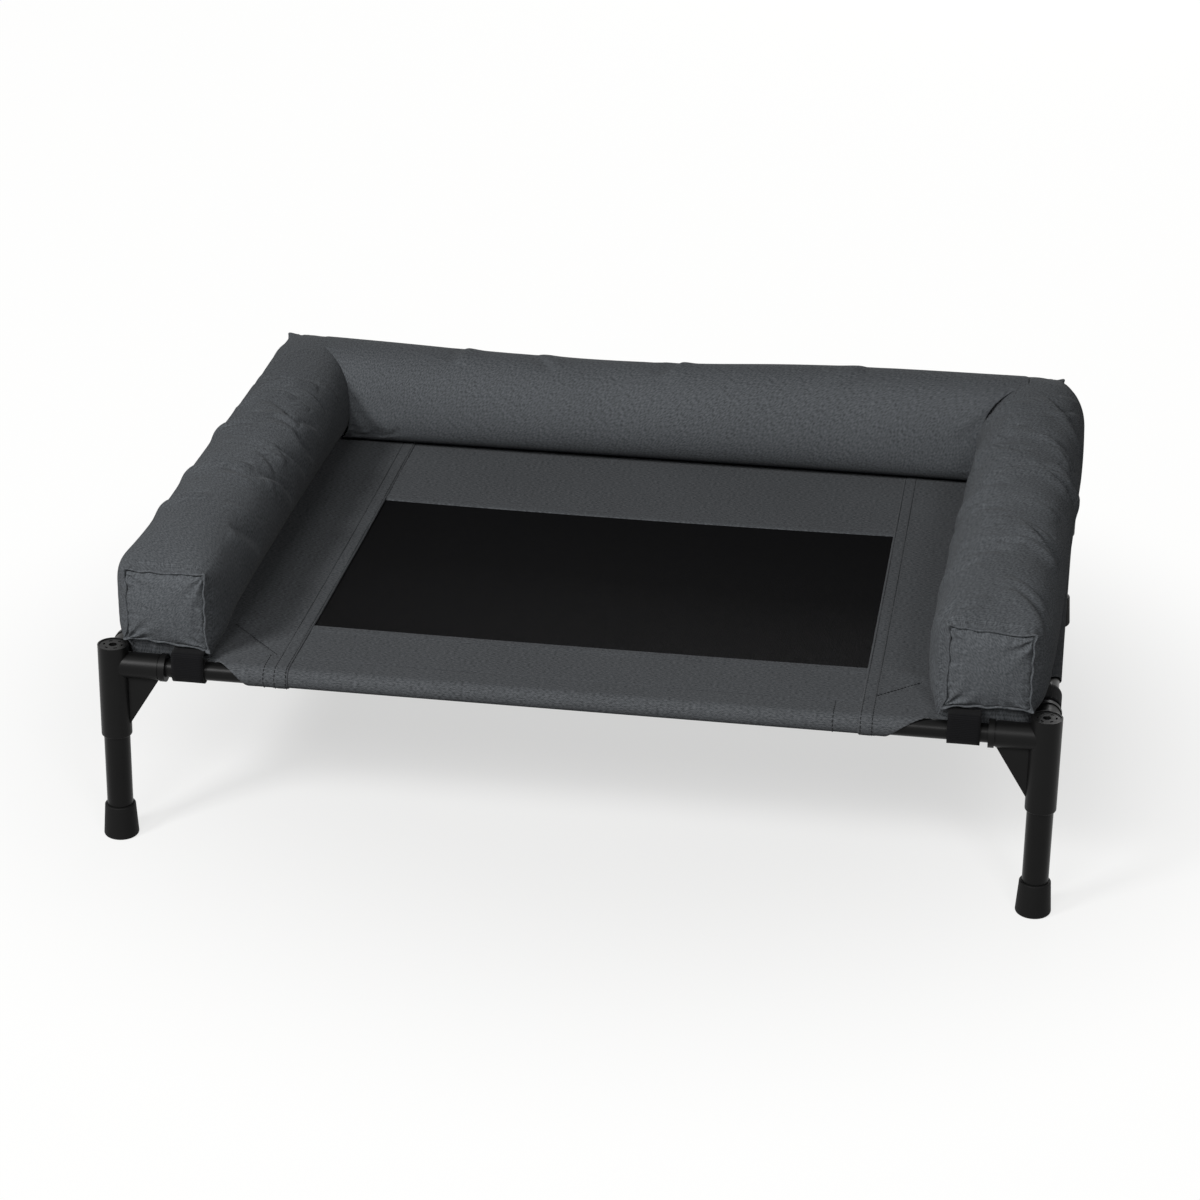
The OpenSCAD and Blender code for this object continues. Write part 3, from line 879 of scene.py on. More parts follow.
    def side_panel(self, side: Side) -> Surface:
        """Panel with sleeves on three rails, in columns from its hem outwards.

        Each column's points keep their places over the core and stretch beyond it to the cut edges. A ripple
        of crossed sines keeps the cloth from lying dead flat.

        Args:
            side: Which panel.
        Returns:
            The middle of its cloth.
        """
        path = SleevePath(self.side_radius)
        under_arm, core, knee = 0.090, 0.110, 0.66
        inside = np.concatenate([
            np.linspace(self.half_x - self.side_edge, under_arm, 72, endpoint=False),
            np.linspace(under_arm, 0.0, 30, endpoint=False),
            np.linspace(0.0, -path.length, 46),
        ])
        outer = np.concatenate([np.linspace(0.0, knee, 20, endpoint=False), np.linspace(knee, 1.0, 48)])
        level = np.linspace(-core, core, 40)[1:-1]
        base = np.concatenate([np.full(len(outer), -core), level, np.full(len(outer), core)])
        share = np.concatenate([-outer[::-1], np.zeros(len(level)), outer])
        reach = self.reach_y(inside, side)
        y = base[:, None] + share[:, None] * (reach - core)[None, :]
        x = side.value * np.broadcast_to(self.half_x - inside, y.shape)
        hem = self.hem(np.abs(x) - self.side_edge)
        ripple = 0.00025 * np.sin(41.0 * y + 9.0 * np.abs(x)) * np.sin(23.0 * np.abs(x))
        relief = hem + self.sleeve_draw(x, y) + self.dart(x, y, side) + ripple
        relief = relief + self.droop(inside[None, :], reach[None, :] - np.abs(y), side)
        points = self.place(x, y, relief, self.side_radius)
        surface = Surface.grid(points, np.stack([x, y], -1))
        return surface.flipped() if side is Side.RIGHT else surface

    def border(self, end: End) -> Surface:
        """Front or back border: a strip from its hem on the mesh to the flap of its sleeve.

        Args:
            end: Which border.
        Returns:
            The middle of its cloth.
        """
        path = SleevePath(self.border_radius)
        edge = self.edge_y(end)
        depth = self.half_y - abs(edge)
        hem_end, sleeve_start = 0.016, depth - 0.030
        run = np.concatenate([
            np.linspace(0.0, hem_end, 22, endpoint=False),
            np.linspace(hem_end, sleeve_start, 24, endpoint=False),
            np.linspace(sleeve_start, depth + path.length, 74),
        ])
        across = np.linspace(-1.0, 1.0, 121) * (self.side_edge + self.lap)
        x, run = np.meshgrid(across, run)
        y = edge + end.value * run
        ripple = 0.0003 * np.sin(27.0 * x + 1.3) * np.sin(np.pi * np.clip(run / depth, 0.0, 1.0))
        points = self.place(x, y, self.hem(run) + self.sleeve_draw(x, y) + ripple, self.border_radius)
        surface = Surface.grid(points, np.stack([x, y], -1))
        return surface.flipped() if end is End.FRONT else surface

    def window(self) -> Surface:
        """Mesh window, which runs on under the hems around it."""
        across = np.linspace(-1.0, 1.0, 81) * (self.side_edge + self.lap)
        along = np.linspace(self.front_edge - self.lap, self.back_edge + self.lap, 61)
        x, y = np.meshgrid(across, along)
        return Surface.grid(self.place(x, y, np.zeros_like(x), self.mesh_radius), np.stack([x, y], -1))

    def stitch_row(self, start: Place, end: Place, lift: float, radius: float) -> Surface:
        """A straight row of stitches in flat cloth: each a four-sided bead that dips in at both ends.

        Args:
            start: Flat place of the first stitch.
            end: Flat place of the last stitch.
            lift: Height of the thread off the middle of the cloth.
            radius: Radius of that cloth around a rail.
        Returns:
            All stitches of the row.
        """
        line = np.subtract(end, start)
        length = float(np.hypot(*line))
        count = max(int(length / (self.stitch + self.stitch_gap)), 1)
        middle = (np.arange(count) + 0.5) * length / count
        station = np.array([-0.5, -0.34, 0.34, 0.5]) * self.stitch
        thick = np.array([0.35, 1.0, 1.0, 0.35]) * self.thread
        sink = np.array([-0.9, 0.0, 0.0, -0.9]) * self.thread
        along = (middle[:, None] + station) / length
        x, y = start[0] + along * line[0], start[1] + along * line[1]
        base = self.place(x, y, lift + sink + np.zeros_like(x), radius)
        normal = unit(self.place(x, y, lift + sink + 0.001 + np.zeros_like(x), radius) - base)
        tangent = unit(np.broadcast_to(base[:, -1:] - base[:, :1], base.shape))
        across = np.cross(normal, tangent)
        sides = np.stack([across, normal, -across, -normal], 2)
        rings = base[:, :, None] + sides * thick[None, :, None, None]
        beads = Surface.grid(rings[0], np.zeros((4, 5, 2)), ring=True)
        caps = np.array([[3, 2, 1, 0], [12, 13, 14, 15]])
        quads = np.concatenate([beads.quads, caps])
        every = (quads[None] + 16 * np.arange(count)[:, None, None]).reshape(-1, 4)
        return Surface(rings.reshape(-1, 3), every, np.zeros((len(every), 4, 2)))

    def stitching(self) -> Surface:
        """Rows in cloth-coloured thread: the sleeve lines and the border hems."""
        top = self.cloth / 2.0
        sewn = SleevePath(self.side_radius).sewn
        rows = []
        for side in Side:
            x = side.value * (self.half_x - sewn)
            rows.append(self.stitch_row((x, -self.side_row), (x, self.side_row), top, self.side_radius))
            near, far = (side.value * place for place in self.end_row)
            for end in End:
                y = end.value * (self.half_y - sewn)
                rows.append(self.stitch_row((near, y), (far, y), top, self.side_radius))
        reach, raised = self.side_edge - self.border_row_inset, top + self.hem_thread_lift
        for end in End:
            y = end.value * (self.half_y - sewn)
            rows.append(self.stitch_row((-reach, y), (reach, y), top, self.border_radius))
            for row in self.seam_rows:
                y = self.edge_y(end) + end.value * row
                rows.append(self.stitch_row((-reach, y), (reach, y), raised, self.border_radius))
        return Surface.joined(rows)

    def seam_stitching(self) -> Surface:
        """Rows in dark thread: the side hems, the darts, and a row across each end of the front sleeve."""
        top = self.cloth / 2.0
        raised = top + self.hem_thread_lift
        foot_y = SleevePath(self.side_radius).sewn - self.half_y
        past = self.half_y + self.row_past_rail
        rows = []
        for side, dart in ((Side.LEFT, self.left_dart), (Side.RIGHT, self.right_dart)):
            for row in self.seam_rows:
                x = side.value * (self.side_edge + row)
                rows.append(self.stitch_row((x, -past), (x, past), raised, self.side_radius))
            foot, tip = ((side.value * x, y) for x, y in dart)
            rows.append(self.stitch_row(foot, tip, top, self.side_radius))
        for x, radius in ((self.left_end_row, self.side_radius), (self.right_end_row, self.border_radius)):
            rows.append(self.stitch_row((x, foot_y), (x, -past), raised, radius))
        return Surface.joined(rows)

    def build(self) -> None:
        cloth = SLING_CLOTH.material()
        for side in Side:
            surface = self.side_panel(side)
            node = f"{side.word}_side_panel"
            obj = add_piece(surface, f"{side.word}_side_cloth", cloth, (node,), self.cloth)
            surface.area()
        for end in End:
            surface = self.border(end)
            name = f"{end.word}_border_cloth"
            obj = add_piece(surface, name, cloth, (f"{end.word}_panel",), self.cloth)
            surface.area()
        mesh, thin = MESH_CLOTH.material(), self.mesh_cloth
        window = add_piece(self.window(), "mesh_window", mesh, ("mesh_panel",), thin)
        add_piece(self.stitching(), "sling_stitching", THREAD.material())
        add_piece(self.seam_stitching(), "seam_stitching", DARK_THREAD.material())


@dataclass
class Straps:
    """Webbing straps that tie the bolster to the rails beside each corner."""

    half_x: float = RAIL_X
    half_y: float = RAIL_Y
    rail_z: float = RAIL_Z
    near: float = 0.053
    width: float = 0.027
    thickness: float = 0.0013
    inner: float = 0.0089
    outer: float = 0.0103
    tab_top: float = 0.0179
    end_tab: float = 0.004
    side_tab: float = 0.014
    bend: float = 0.003
    crown: float = 0.00012
    step: float = 6.0
    draw_in: Range = (120.0, 240.0)
    end_turns: Range = (0.0, 500.0)
    side_turns: Range = (-90.0, 450.0)

    def winding(self, start: float, finish: float) -> Array:
        """Turns round the rail that draw in from the outer to the inner radius between the draw_in angles.

        Args:
            start: First angle in degrees, where 0 is outward and 90 is down.
            finish: Last angle.
        Returns:
            Outward and upward offsets, shape (n, 2).
        """
        angle = np.linspace(start, finish, int((finish - start) / self.step))
        radius = self.outer - (self.outer - self.inner) * smooth_step(*self.draw_in, angle)
        turn = np.radians(angle)
        return np.stack([radius * np.cos(turn), -radius * np.sin(turn)], 1)

    def end_route(self) -> Array:
        """Tab under the arm's end panel, round bend, riser outside the rail, then the winding."""
        corner = np.radians(np.linspace(90.0, 0.0, 8))
        bend = np.stack([np.cos(corner), np.sin(corner)], 1) * self.bend
        bend += [self.outer - self.bend, self.tab_top - self.bend]
        tab = np.linspace([-self.end_tab, self.tab_top], bend[0], 8, endpoint=False)
        riser = np.linspace(bend[-1], [self.outer, 0.0], 7)[1:-1]
        return np.concatenate([tab, bend, riser, self.winding(*self.end_turns)])

    def side_route(self) -> Array:
        """Tab that runs inward under the arm from the top of the rail, then the winding."""
        tab = np.linspace([-self.side_tab, self.outer], [0.0, self.outer], 8, endpoint=False)
        return np.concatenate([tab, self.winding(*self.side_turns)])

    def strip(self, route: Array, side: Side, end: End, on_side: bool) -> tuple[Surface, float]:
        """Carries the strap's width along its route.

        Args:
            route: Outward and upward offsets from the rail's axis.
            side: Side of the corner.
            end: End of the corner.
            on_side: Whether it is wound on the side rail.
        Returns:
            The middle of the webbing, and its flat length.
        """
        length = np.concatenate([[0.0], np.cumsum(np.linalg.norm(np.diff(route, axis=0), axis=1))])
        across = np.linspace(0.0, self.width, 9)
        run, wide = np.meshgrid(length, across, indexing="ij")
        crown = self.crown * (1.0 - (2.0 * wide / self.width - 1.0) ** 2)
        out, up = (np.broadcast_to(route[:, k:k + 1], run.shape) for k in range(2))
        inward = self.near + wide
        if on_side:
            x = side.value * (self.half_x + out)
            y = end.value * (self.half_y - inward)
        else:
            x = side.value * (self.half_x - inward)
            y = end.value * (self.half_y + out)
        points = np.stack([x, y, self.rail_z + up + crown], -1)
        surface = Surface.grid(points, np.stack([wide, run], -1))
        turned = (side.value * end.value > 0) != on_side
        return (surface.flipped() if turned else surface), float(length[-1])

    def build(self) -> None:
        material = STRAP_WEBBING.material()
        for side in Side:
            for end in End:
                spots = (
                    (f"{end.word}_rail", f"{end.word}_rail_{side.word}_strap", self.end_route(), False),
                    (f"{side.word}_rail", f"{side.word}_rail_{end.word}_strap", self.side_route(), True),
                )
                for rail, node, route, on_side in spots:
                    surface, length = self.strip(route, side, end, on_side)
                    name = node.replace("_strap", "_webbing")
                    obj = add_piece(surface, name, material, (node,), self.thickness)


@dataclass(frozen=True)
class Crease:
    """A fold in a cover: a ridge along a line, with a valley on the left of it as the line runs.

    The line's places are pairs of a distance along the arm and a share of the way round it.
    """

    line: tuple[Place, ...]
    depth: float
    width: float = 0.0042
    ramp: float = 2.4
    valley: float = 1.2
    valley_place: float = 1.9
    valley_width: float = 1.1

    def relief(self, along: Array, girth: Array, round_length: float, blur: float = 1.0) -> Array:
        """Height of the fold at places on a tube.

        With s the distance from the line in widths, the height is exp(-s^2) for the ridge, whose other side
        is a ramp that is wider by the ramp factor, less valley exp(-((s - valley_place) / valley_width)^2).
        It fades as the root of 4 t (1 - t) along the line.

        Args:
            along: Places along the arm in metres.
            girth: Places round it, from 0 to 1.
            round_length: Length once round the arm.
            blur: How many times wider and lower the fold is read.
        Returns:
            Height off the smooth form.
        """
        knots = np.array(self.line) * np.array([1.0, round_length])
        fine = 2 if len(knots) == 2 else 6 * len(knots)
        knots = cubic_weights(np.linspace(0.0, len(knots) - 1.0, fine), len(knots), False) @ knots
        legs = np.diff(knots, axis=0)
        total = np.linalg.norm(legs, axis=1).sum()
        nearest = np.full(np.broadcast(along, girth).shape, np.inf)
        beside, run = np.zeros_like(nearest), np.zeros_like(nearest)
        passed = 0.0
        for knot, leg in zip(knots, legs):
            length = np.linalg.norm(leg)
            on_a, on_g = along - knot[0], girth * round_length - knot[1]
            share = np.clip((on_a * leg[0] + on_g * leg[1]) / length ** 2, 0.0, 1.0)
            away = np.hypot(on_a - share * leg[0], on_g - share * leg[1])
            closer = away < nearest
            nearest = np.where(closer, away, nearest)
            beside = np.where(closer, np.sign(leg[0] * on_g - leg[1] * on_a) * away, beside)
            run = np.where(closer, (passed + share * length) / total, run)
            passed += length
        s = beside / (self.width * blur)
        fade = np.sqrt(np.clip(4.0 * run * (1.0 - run), 0.0, 1.0))
        ridge = np.exp(-(s / np.where(s < 0.0, self.ramp, 1.0)) ** 2)
        valley = self.valley * np.exp(-((s - self.valley_place) / self.valley_width) ** 2)
        return self.depth / blur * fade * (ridge - valley)


def crumples(count: int, seed: int, front: float, back: float) -> tuple[Crease, ...]:
    """Small random folds that run roughly round an arm, over its crown and upper sides.

    Args:
        count: How many.
        seed: Seed of the random numbers.
        front: Nearest place to the front end.
        back: Nearest place to the back end.
    Returns:
        The folds.
    """
    rng = np.random.default_rng(seed)
    along = rng.uniform(front, back, count)
    girth = rng.uniform(0.34, 0.68, count)
    reach = rng.uniform(0.03, 0.08, count)
    slant = rng.normal(0.0, 0.006, count)
    depth = rng.uniform(0.0003, 0.0008, count)
    width = rng.uniform(0.0020, 0.0034, count)
    return tuple(
        Crease(((a - k, g + r), (a + k, g - r)), d, w)
        for a, g, r, k, d, w in zip(along, girth, reach, slant, depth, width)
    )


@dataclass(frozen=True)
class Stuffing:
    """Cloth settings that plump a cover cut a little longer than its arm."""

    pressure: float = 4.0
    spare: float = 1.05
    stretch: float = 22.0
    shear: float = 4.0
    bending: float = 0.05
    mass: float = 0.12
    quality: int = 5
    frames: int = 14
    cap: float = 0.012

    def settle(self, surface: Surface, cut: Array, held: Array) -> Array:
        """Runs the simulation and gives the settled points.

        Args:
            surface: Welded closed cover in its starting shape.
            cut: The same points as the cloth was cut, which its rest lengths come from.
            held: True where the cover is sewn down.
        Returns:
            The settled points, none further from its start than the cap.
        """
        obj = surface.to_object("cover_trial")
        obj.shape_key_add(name="Basis")
        key = obj.shape_key_add(name="cut")
        key.data.foreach_set("co", cut.astype(np.float32).ravel())
        group = obj.vertex_groups.new(name="sewn")
        group.add(np.nonzero(held)[0].tolist(), 1.0, "REPLACE")
        cloth = obj.modifiers.new("stuffing", "CLOTH")
        rules = cloth.settings
        rules.quality = self.quality
        rules.mass = self.mass
        rules.tension_stiffness = self.stretch
        rules.compression_stiffness = self.stretch
        rules.shear_stiffness = self.shear
        rules.bending_stiffness = self.bending
        rules.air_damping = 1.0
        rules.effector_weights.gravity = 0.0
        rules.use_pressure = True
        rules.uniform_pressure_force = self.pressure
        rules.vertex_group_mass = group.name
        rules.rest_shape_key = key
        cloth.collision_settings.use_collision = False
        cloth.point_cache.frame_end = self.frames
        scene = bpy.context.scene
        for step in range(1, self.frames + 1):
            scene.frame_set(step)
        evaluated = obj.evaluated_get(bpy.context.evaluated_depsgraph_get())
        mesh = evaluated.to_mesh()
        settled = np.empty(len(mesh.vertices) * 3, dtype=np.float32)
        mesh.vertices.foreach_get("co", settled)
        evaluated.to_mesh_clear()
        scene.frame_set(1)
        data = obj.data
        bpy.data.objects.remove(obj)
        bpy.data.meshes.remove(data)
        move = settled.reshape(-1, 3) - surface.points
        size = np.linalg.norm(move, axis=1, keepdims=True)
        return surface.points + move * np.minimum(1.0, self.cap / np.maximum(size, 1e-9))


@dataclass
class Arm:
    """A stuffed arm of the bolster: a sewn tube with a panel at each end.

    A point of the tube is found from a place along it and a share of the way round it, from 0 at the
    middle of its seat over its outer or back face to 0.5 at its crown.
    """

    name: str
    node: str
    filling: str
    half: float
    creases: tuple[Crease, ...]
    columns: int = 176
    rows: int = 400
    trial_columns: int = 72
    trial_rows: int = 96
    samples: int = 180
    girth_length: float = 0.30
    trial_blur: float = 2.0
    seat_margin: float = 0.0008
    settled_share: float = 1.1
    gather: float = 0.0006
    gather_reach: float = 0.010
    gather_start: float = 0.002
    filling_inset: float = 0.004
    filling_rows: int = 61
    filling_columns: int = 48
    lump: float = 0.0012

    def tube(self, along: Array, inset: Array, columns: int) -> Array:
        """Points of the tube, shape (len(along), columns, 3); each kind of arm has its own."""
        raise NotImplementedError

    def cap(self, patch: Array, sign: float, detail: float) -> Array:
        """Shapes the flat patch inside an end ring; each kind of arm has its own."""
        raise NotImplementedError

    def mouth(self, rows: int) -> tuple[Array, Array]:
        """Places along the arm and insets of its rows; each kind of arm has its own."""
        raise NotImplementedError

    def angles(self) -> Array:
        """Angles of a section in four quarters from its inner lower corner, each with both its ends."""
        quarter = np.linspace(-np.pi / 4.0, np.pi / 4.0, self.samples)
        return (quarter[None, :] + np.arange(-1, 3)[:, None] * np.pi / 2.0).ravel()

    def rings(self, points: Array, columns: int) -> Array:
        """Sections read again quarter by quarter, so that a corner falls on a point.

        Args:
            points: Points at the section's angles, shape (rows, 4 samples, 3).
            columns: Points wanted on each ring, a multiple of 8.
        Returns:
            Points of shape (rows, columns, 3), from the middle of the seat.
        """
        quarters = points.reshape(-1, self.samples, 3)
        read = read_runs(quarters, self.quarter(columns)).reshape(len(points), columns, 3)
        return np.roll(read, -columns // 8, axis=1)

    def quarter(self, columns: int) -> Array:
        """Shares of a quarter's length at its points, t - sin(2 pi t) / 4 pi, which crowd to its corners."""
        t = np.arange(columns // 4) / (columns // 4)
        return t - np.sin(2.0 * np.pi * t) / (4.0 * np.pi)

    def girths(self, columns: int) -> Array:
        """Shares of the way round at the points of a ring, from 0 at the middle of the seat."""
        quarters = np.arange(4)[:, None] + self.quarter(columns)[None, :]
        return np.roll(quarters.ravel() / 4.0 - 0.125, -columns // 8) % 1.0

    def patch(self, ring: Array) -> Array:
        """Coons patch inside a ring whose corners lie an eighth of the way round from its start.

        Each point blends the two pairs of facing sides and takes off the blend of the corners.

        Args:
            ring: Points of the ring; their number is a multiple of 8.
        Returns:
            Square grid of points, from the inner lower corner.
        """
        side = len(ring) // 4
        turned = np.roll(ring, side // 2, axis=0)
        turned = np.concatenate([turned, turned[:1]])
        low, right = turned[:side + 1], turned[side:2 * side + 1]
        high, left = turned[2 * side:3 * side + 1][::-1], turned[3 * side:][::-1]
        share = np.append(self.quarter(len(ring)), 1.0)
        s, t = share[:, None, None], share[None, :, None]
        edges = (1 - t) * low[:, None] + t * high[:, None] + (1 - s) * left[None] + s * right[None]
        corners = (1 - t) * ((1 - s) * low[0] + s * low[-1]) + t * ((1 - s) * high[0] + s * high[-1])
        return edges - corners

    def closed(self, tube: Array, detail: float) -> list[Surface]:
        """The tube and its two end panels as surfaces that share their seam points.

        Args:
            tube: Points of the tube.
            detail: Share of the fine relief that the panels get.
        Returns:
            Tube, first panel and last panel.
        """
        rows, columns = tube.shape[:2]
        round_tube = np.append(self.girths(columns), 1.0) * self.girth_length
        run = np.linspace(-self.half, self.half, rows)
        uv = np.stack(np.meshgrid(round_tube, run), -1)
        parts = [Surface.grid(tube, uv, ring=True).flipped()]
        for row, sign in ((0, -1.0), (-1, 1.0)):
            patch = self.cap(self.patch(tube[row]), sign, detail)
            side = np.append(self.quarter(columns), 1.0) * self.girth_length / 4.0
            panel = Surface.grid(patch, np.stack(np.meshgrid(side, side, indexing="ij"), -1))
            parts.append(panel if sign > 0 else panel.flipped())
        return parts

    def normals(self, tube: Array) -> Array:
        """Outward unit normals of a tube, from the differences between its neighbours."""
        round_step = np.roll(tube, -1, axis=1) - np.roll(tube, 1, axis=1)
        normal = unit(np.cross(round_step, np.gradient(tube, axis=0)))
        outward = tube - tube.mean(axis=1, keepdims=True)
        return normal * np.sign((normal * outward).sum())

    def relief(self, along: Array, columns: int, blur: float = 1.0) -> Array:
        """Sum of the arm's creases on a grid of its tube, each that many times wider and lower."""
        girth = self.girths(columns)
        at = along[:, None], girth[None, :]
        return sum(crease.relief(*at, self.girth_length, blur) for crease in self.creases)

    def plumped(self, stuffing: Stuffing) -> Array:
        """Displacement of a coarse tube that the cloth simulation gives.

        The trial starts from the smooth form with shallow creases, so that the spare length gathers there.

        Args:
            stuffing: Cloth settings.
        Returns:
            Shape (trial_rows + 1, trial_columns, 3), off the smooth form.
        """
        along = np.linspace(-self.half, self.half, self.trial_rows + 1)
        smooth = self.tube(along, np.zeros_like(along), self.trial_columns)
        shallow = self.relief(along, self.trial_columns, self.trial_blur)
        seeded = smooth + self.normals(smooth) * shallow[..., None]
        seeded[[0, -1]] = smooth[[0, -1]]
        whole, index = Surface.joined(self.closed(seeded, 0.0)).welded()
        count = seeded.shape[0] * seeded.shape[1]
        held = np.zeros(len(whole.points), dtype=bool)
        held[index[:self.trial_columns]] = True
        held[index[count - self.trial_columns:]] = True
        held |= whole.points[:, 2] < smooth[..., 2].min() + self.seat_margin
        settled = stuffing.settle(whole, self.cut(whole.points, stuffing.spare), held)
        return settled[index[:count]].reshape(seeded.shape) - smooth

    def cut(self, points: Array, spare: float) -> Array:
        """The cover as it was cut, longer than the arm; each kind of arm has its own."""
        raise NotImplementedError

    def cover(self, stuffing: Stuffing) -> Surface:
        """Fine closed cover: the smooth form, the settled displacement and the fine relief.

        Args:
            stuffing: Cloth settings.
        Returns:
            The welded surface.
        """
        along, inset = self.mouth(self.rows)
        tube = self.tube(along, inset, self.columns)
        share = 1.0
        moved = self.plumped(stuffing)
        at_row = np.clip((along + self.half) / (2.0 * self.half), 0.0, 1.0) * self.trial_rows
        at_column = np.arange(self.columns) * self.trial_columns / self.columns
        rows = cubic_weights(at_row, self.trial_rows + 1, False)
        columns = cubic_weights(at_column, self.trial_columns, True)
        tube = tube + np.einsum("ri,ijk,cj->rck", rows, moved, columns)
        share = self.settled_share
        tube = tube + self.normals(tube) * (share * self.relief(along, self.columns))[..., None]
        tube = self.gathers(tube, along)
        return Surface.joined(self.closed(tube, 1.0)).welded()[0]

    def gathers(self, tube: Array, along: Array) -> Array:
        """Fine puckers along the end seams, which fade within a few millimetres."""
        away = self.half - np.abs(along)[:, None]
        girth = self.girths(tube.shape[1])[None, :]
        wave = np.sin(2.0 * np.pi * 27.0 * girth + 3.0 * np.sin(2.0 * np.pi * 5.0 * girth))
        fade = np.exp(-np.maximum(away, 0.0) / self.gather_reach)
        size = self.gather * fade * smooth_step(0.0, self.gather_start, away)
        return tube + self.normals(tube) * (size * wave)[..., None]

    def stuffed(self) -> Surface:
        """Fibre body inside the cover: the smooth form drawn in, with soft lumps."""
        inset = self.filling_inset
        along = np.linspace(-self.half + inset, self.half - inset, self.filling_rows)
        tube = self.tube(along, np.full_like(along, inset), self.filling_columns)
        girth = self.girths(self.filling_columns)[None, :] * 2.0 * np.pi
        lumps = np.sin(38.0 * along[:, None] + 2.0 * girth) * np.sin(3.0 * girth + 17.0 * along[:, None])
        tube = tube - self.normals(tube) * (self.lump * (1.0 + lumps))[..., None]
        return Surface.joined(self.closed(tube, 0.0)).welded()[0]

    def build(self, cloth: bpy.types.Material, fibre: bpy.types.Material, stuffing: Stuffing) -> None:
        """Makes the cover and the filling.

        Args:
            cloth: Finish of the cover.
            fibre: Finish of the filling.
            stuffing: Cloth settings of the cover.
        """
        cover = add_piece(self.cover(stuffing), self.name, cloth, (self.node,))
        name = self.filling.replace("filling", "fibre")
        body = add_piece(self.stuffed(), name, fibre, (self.filling,))


@dataclass(frozen=True)
class Span:
    """A size that runs from one value at the front end of an arm to another at its back end."""

    front: float
    back: float
    bend: float = 1.0

    def at(self, along: Array, half: float) -> Array:
        """The size along an arm of a half length: front + (back - front) s^bend, with s from 0 to 1."""
        share = np.clip((along + half) / (2.0 * half), 0.0, 1.0)
        return self.front + (self.back - self.front) * share ** self.bend


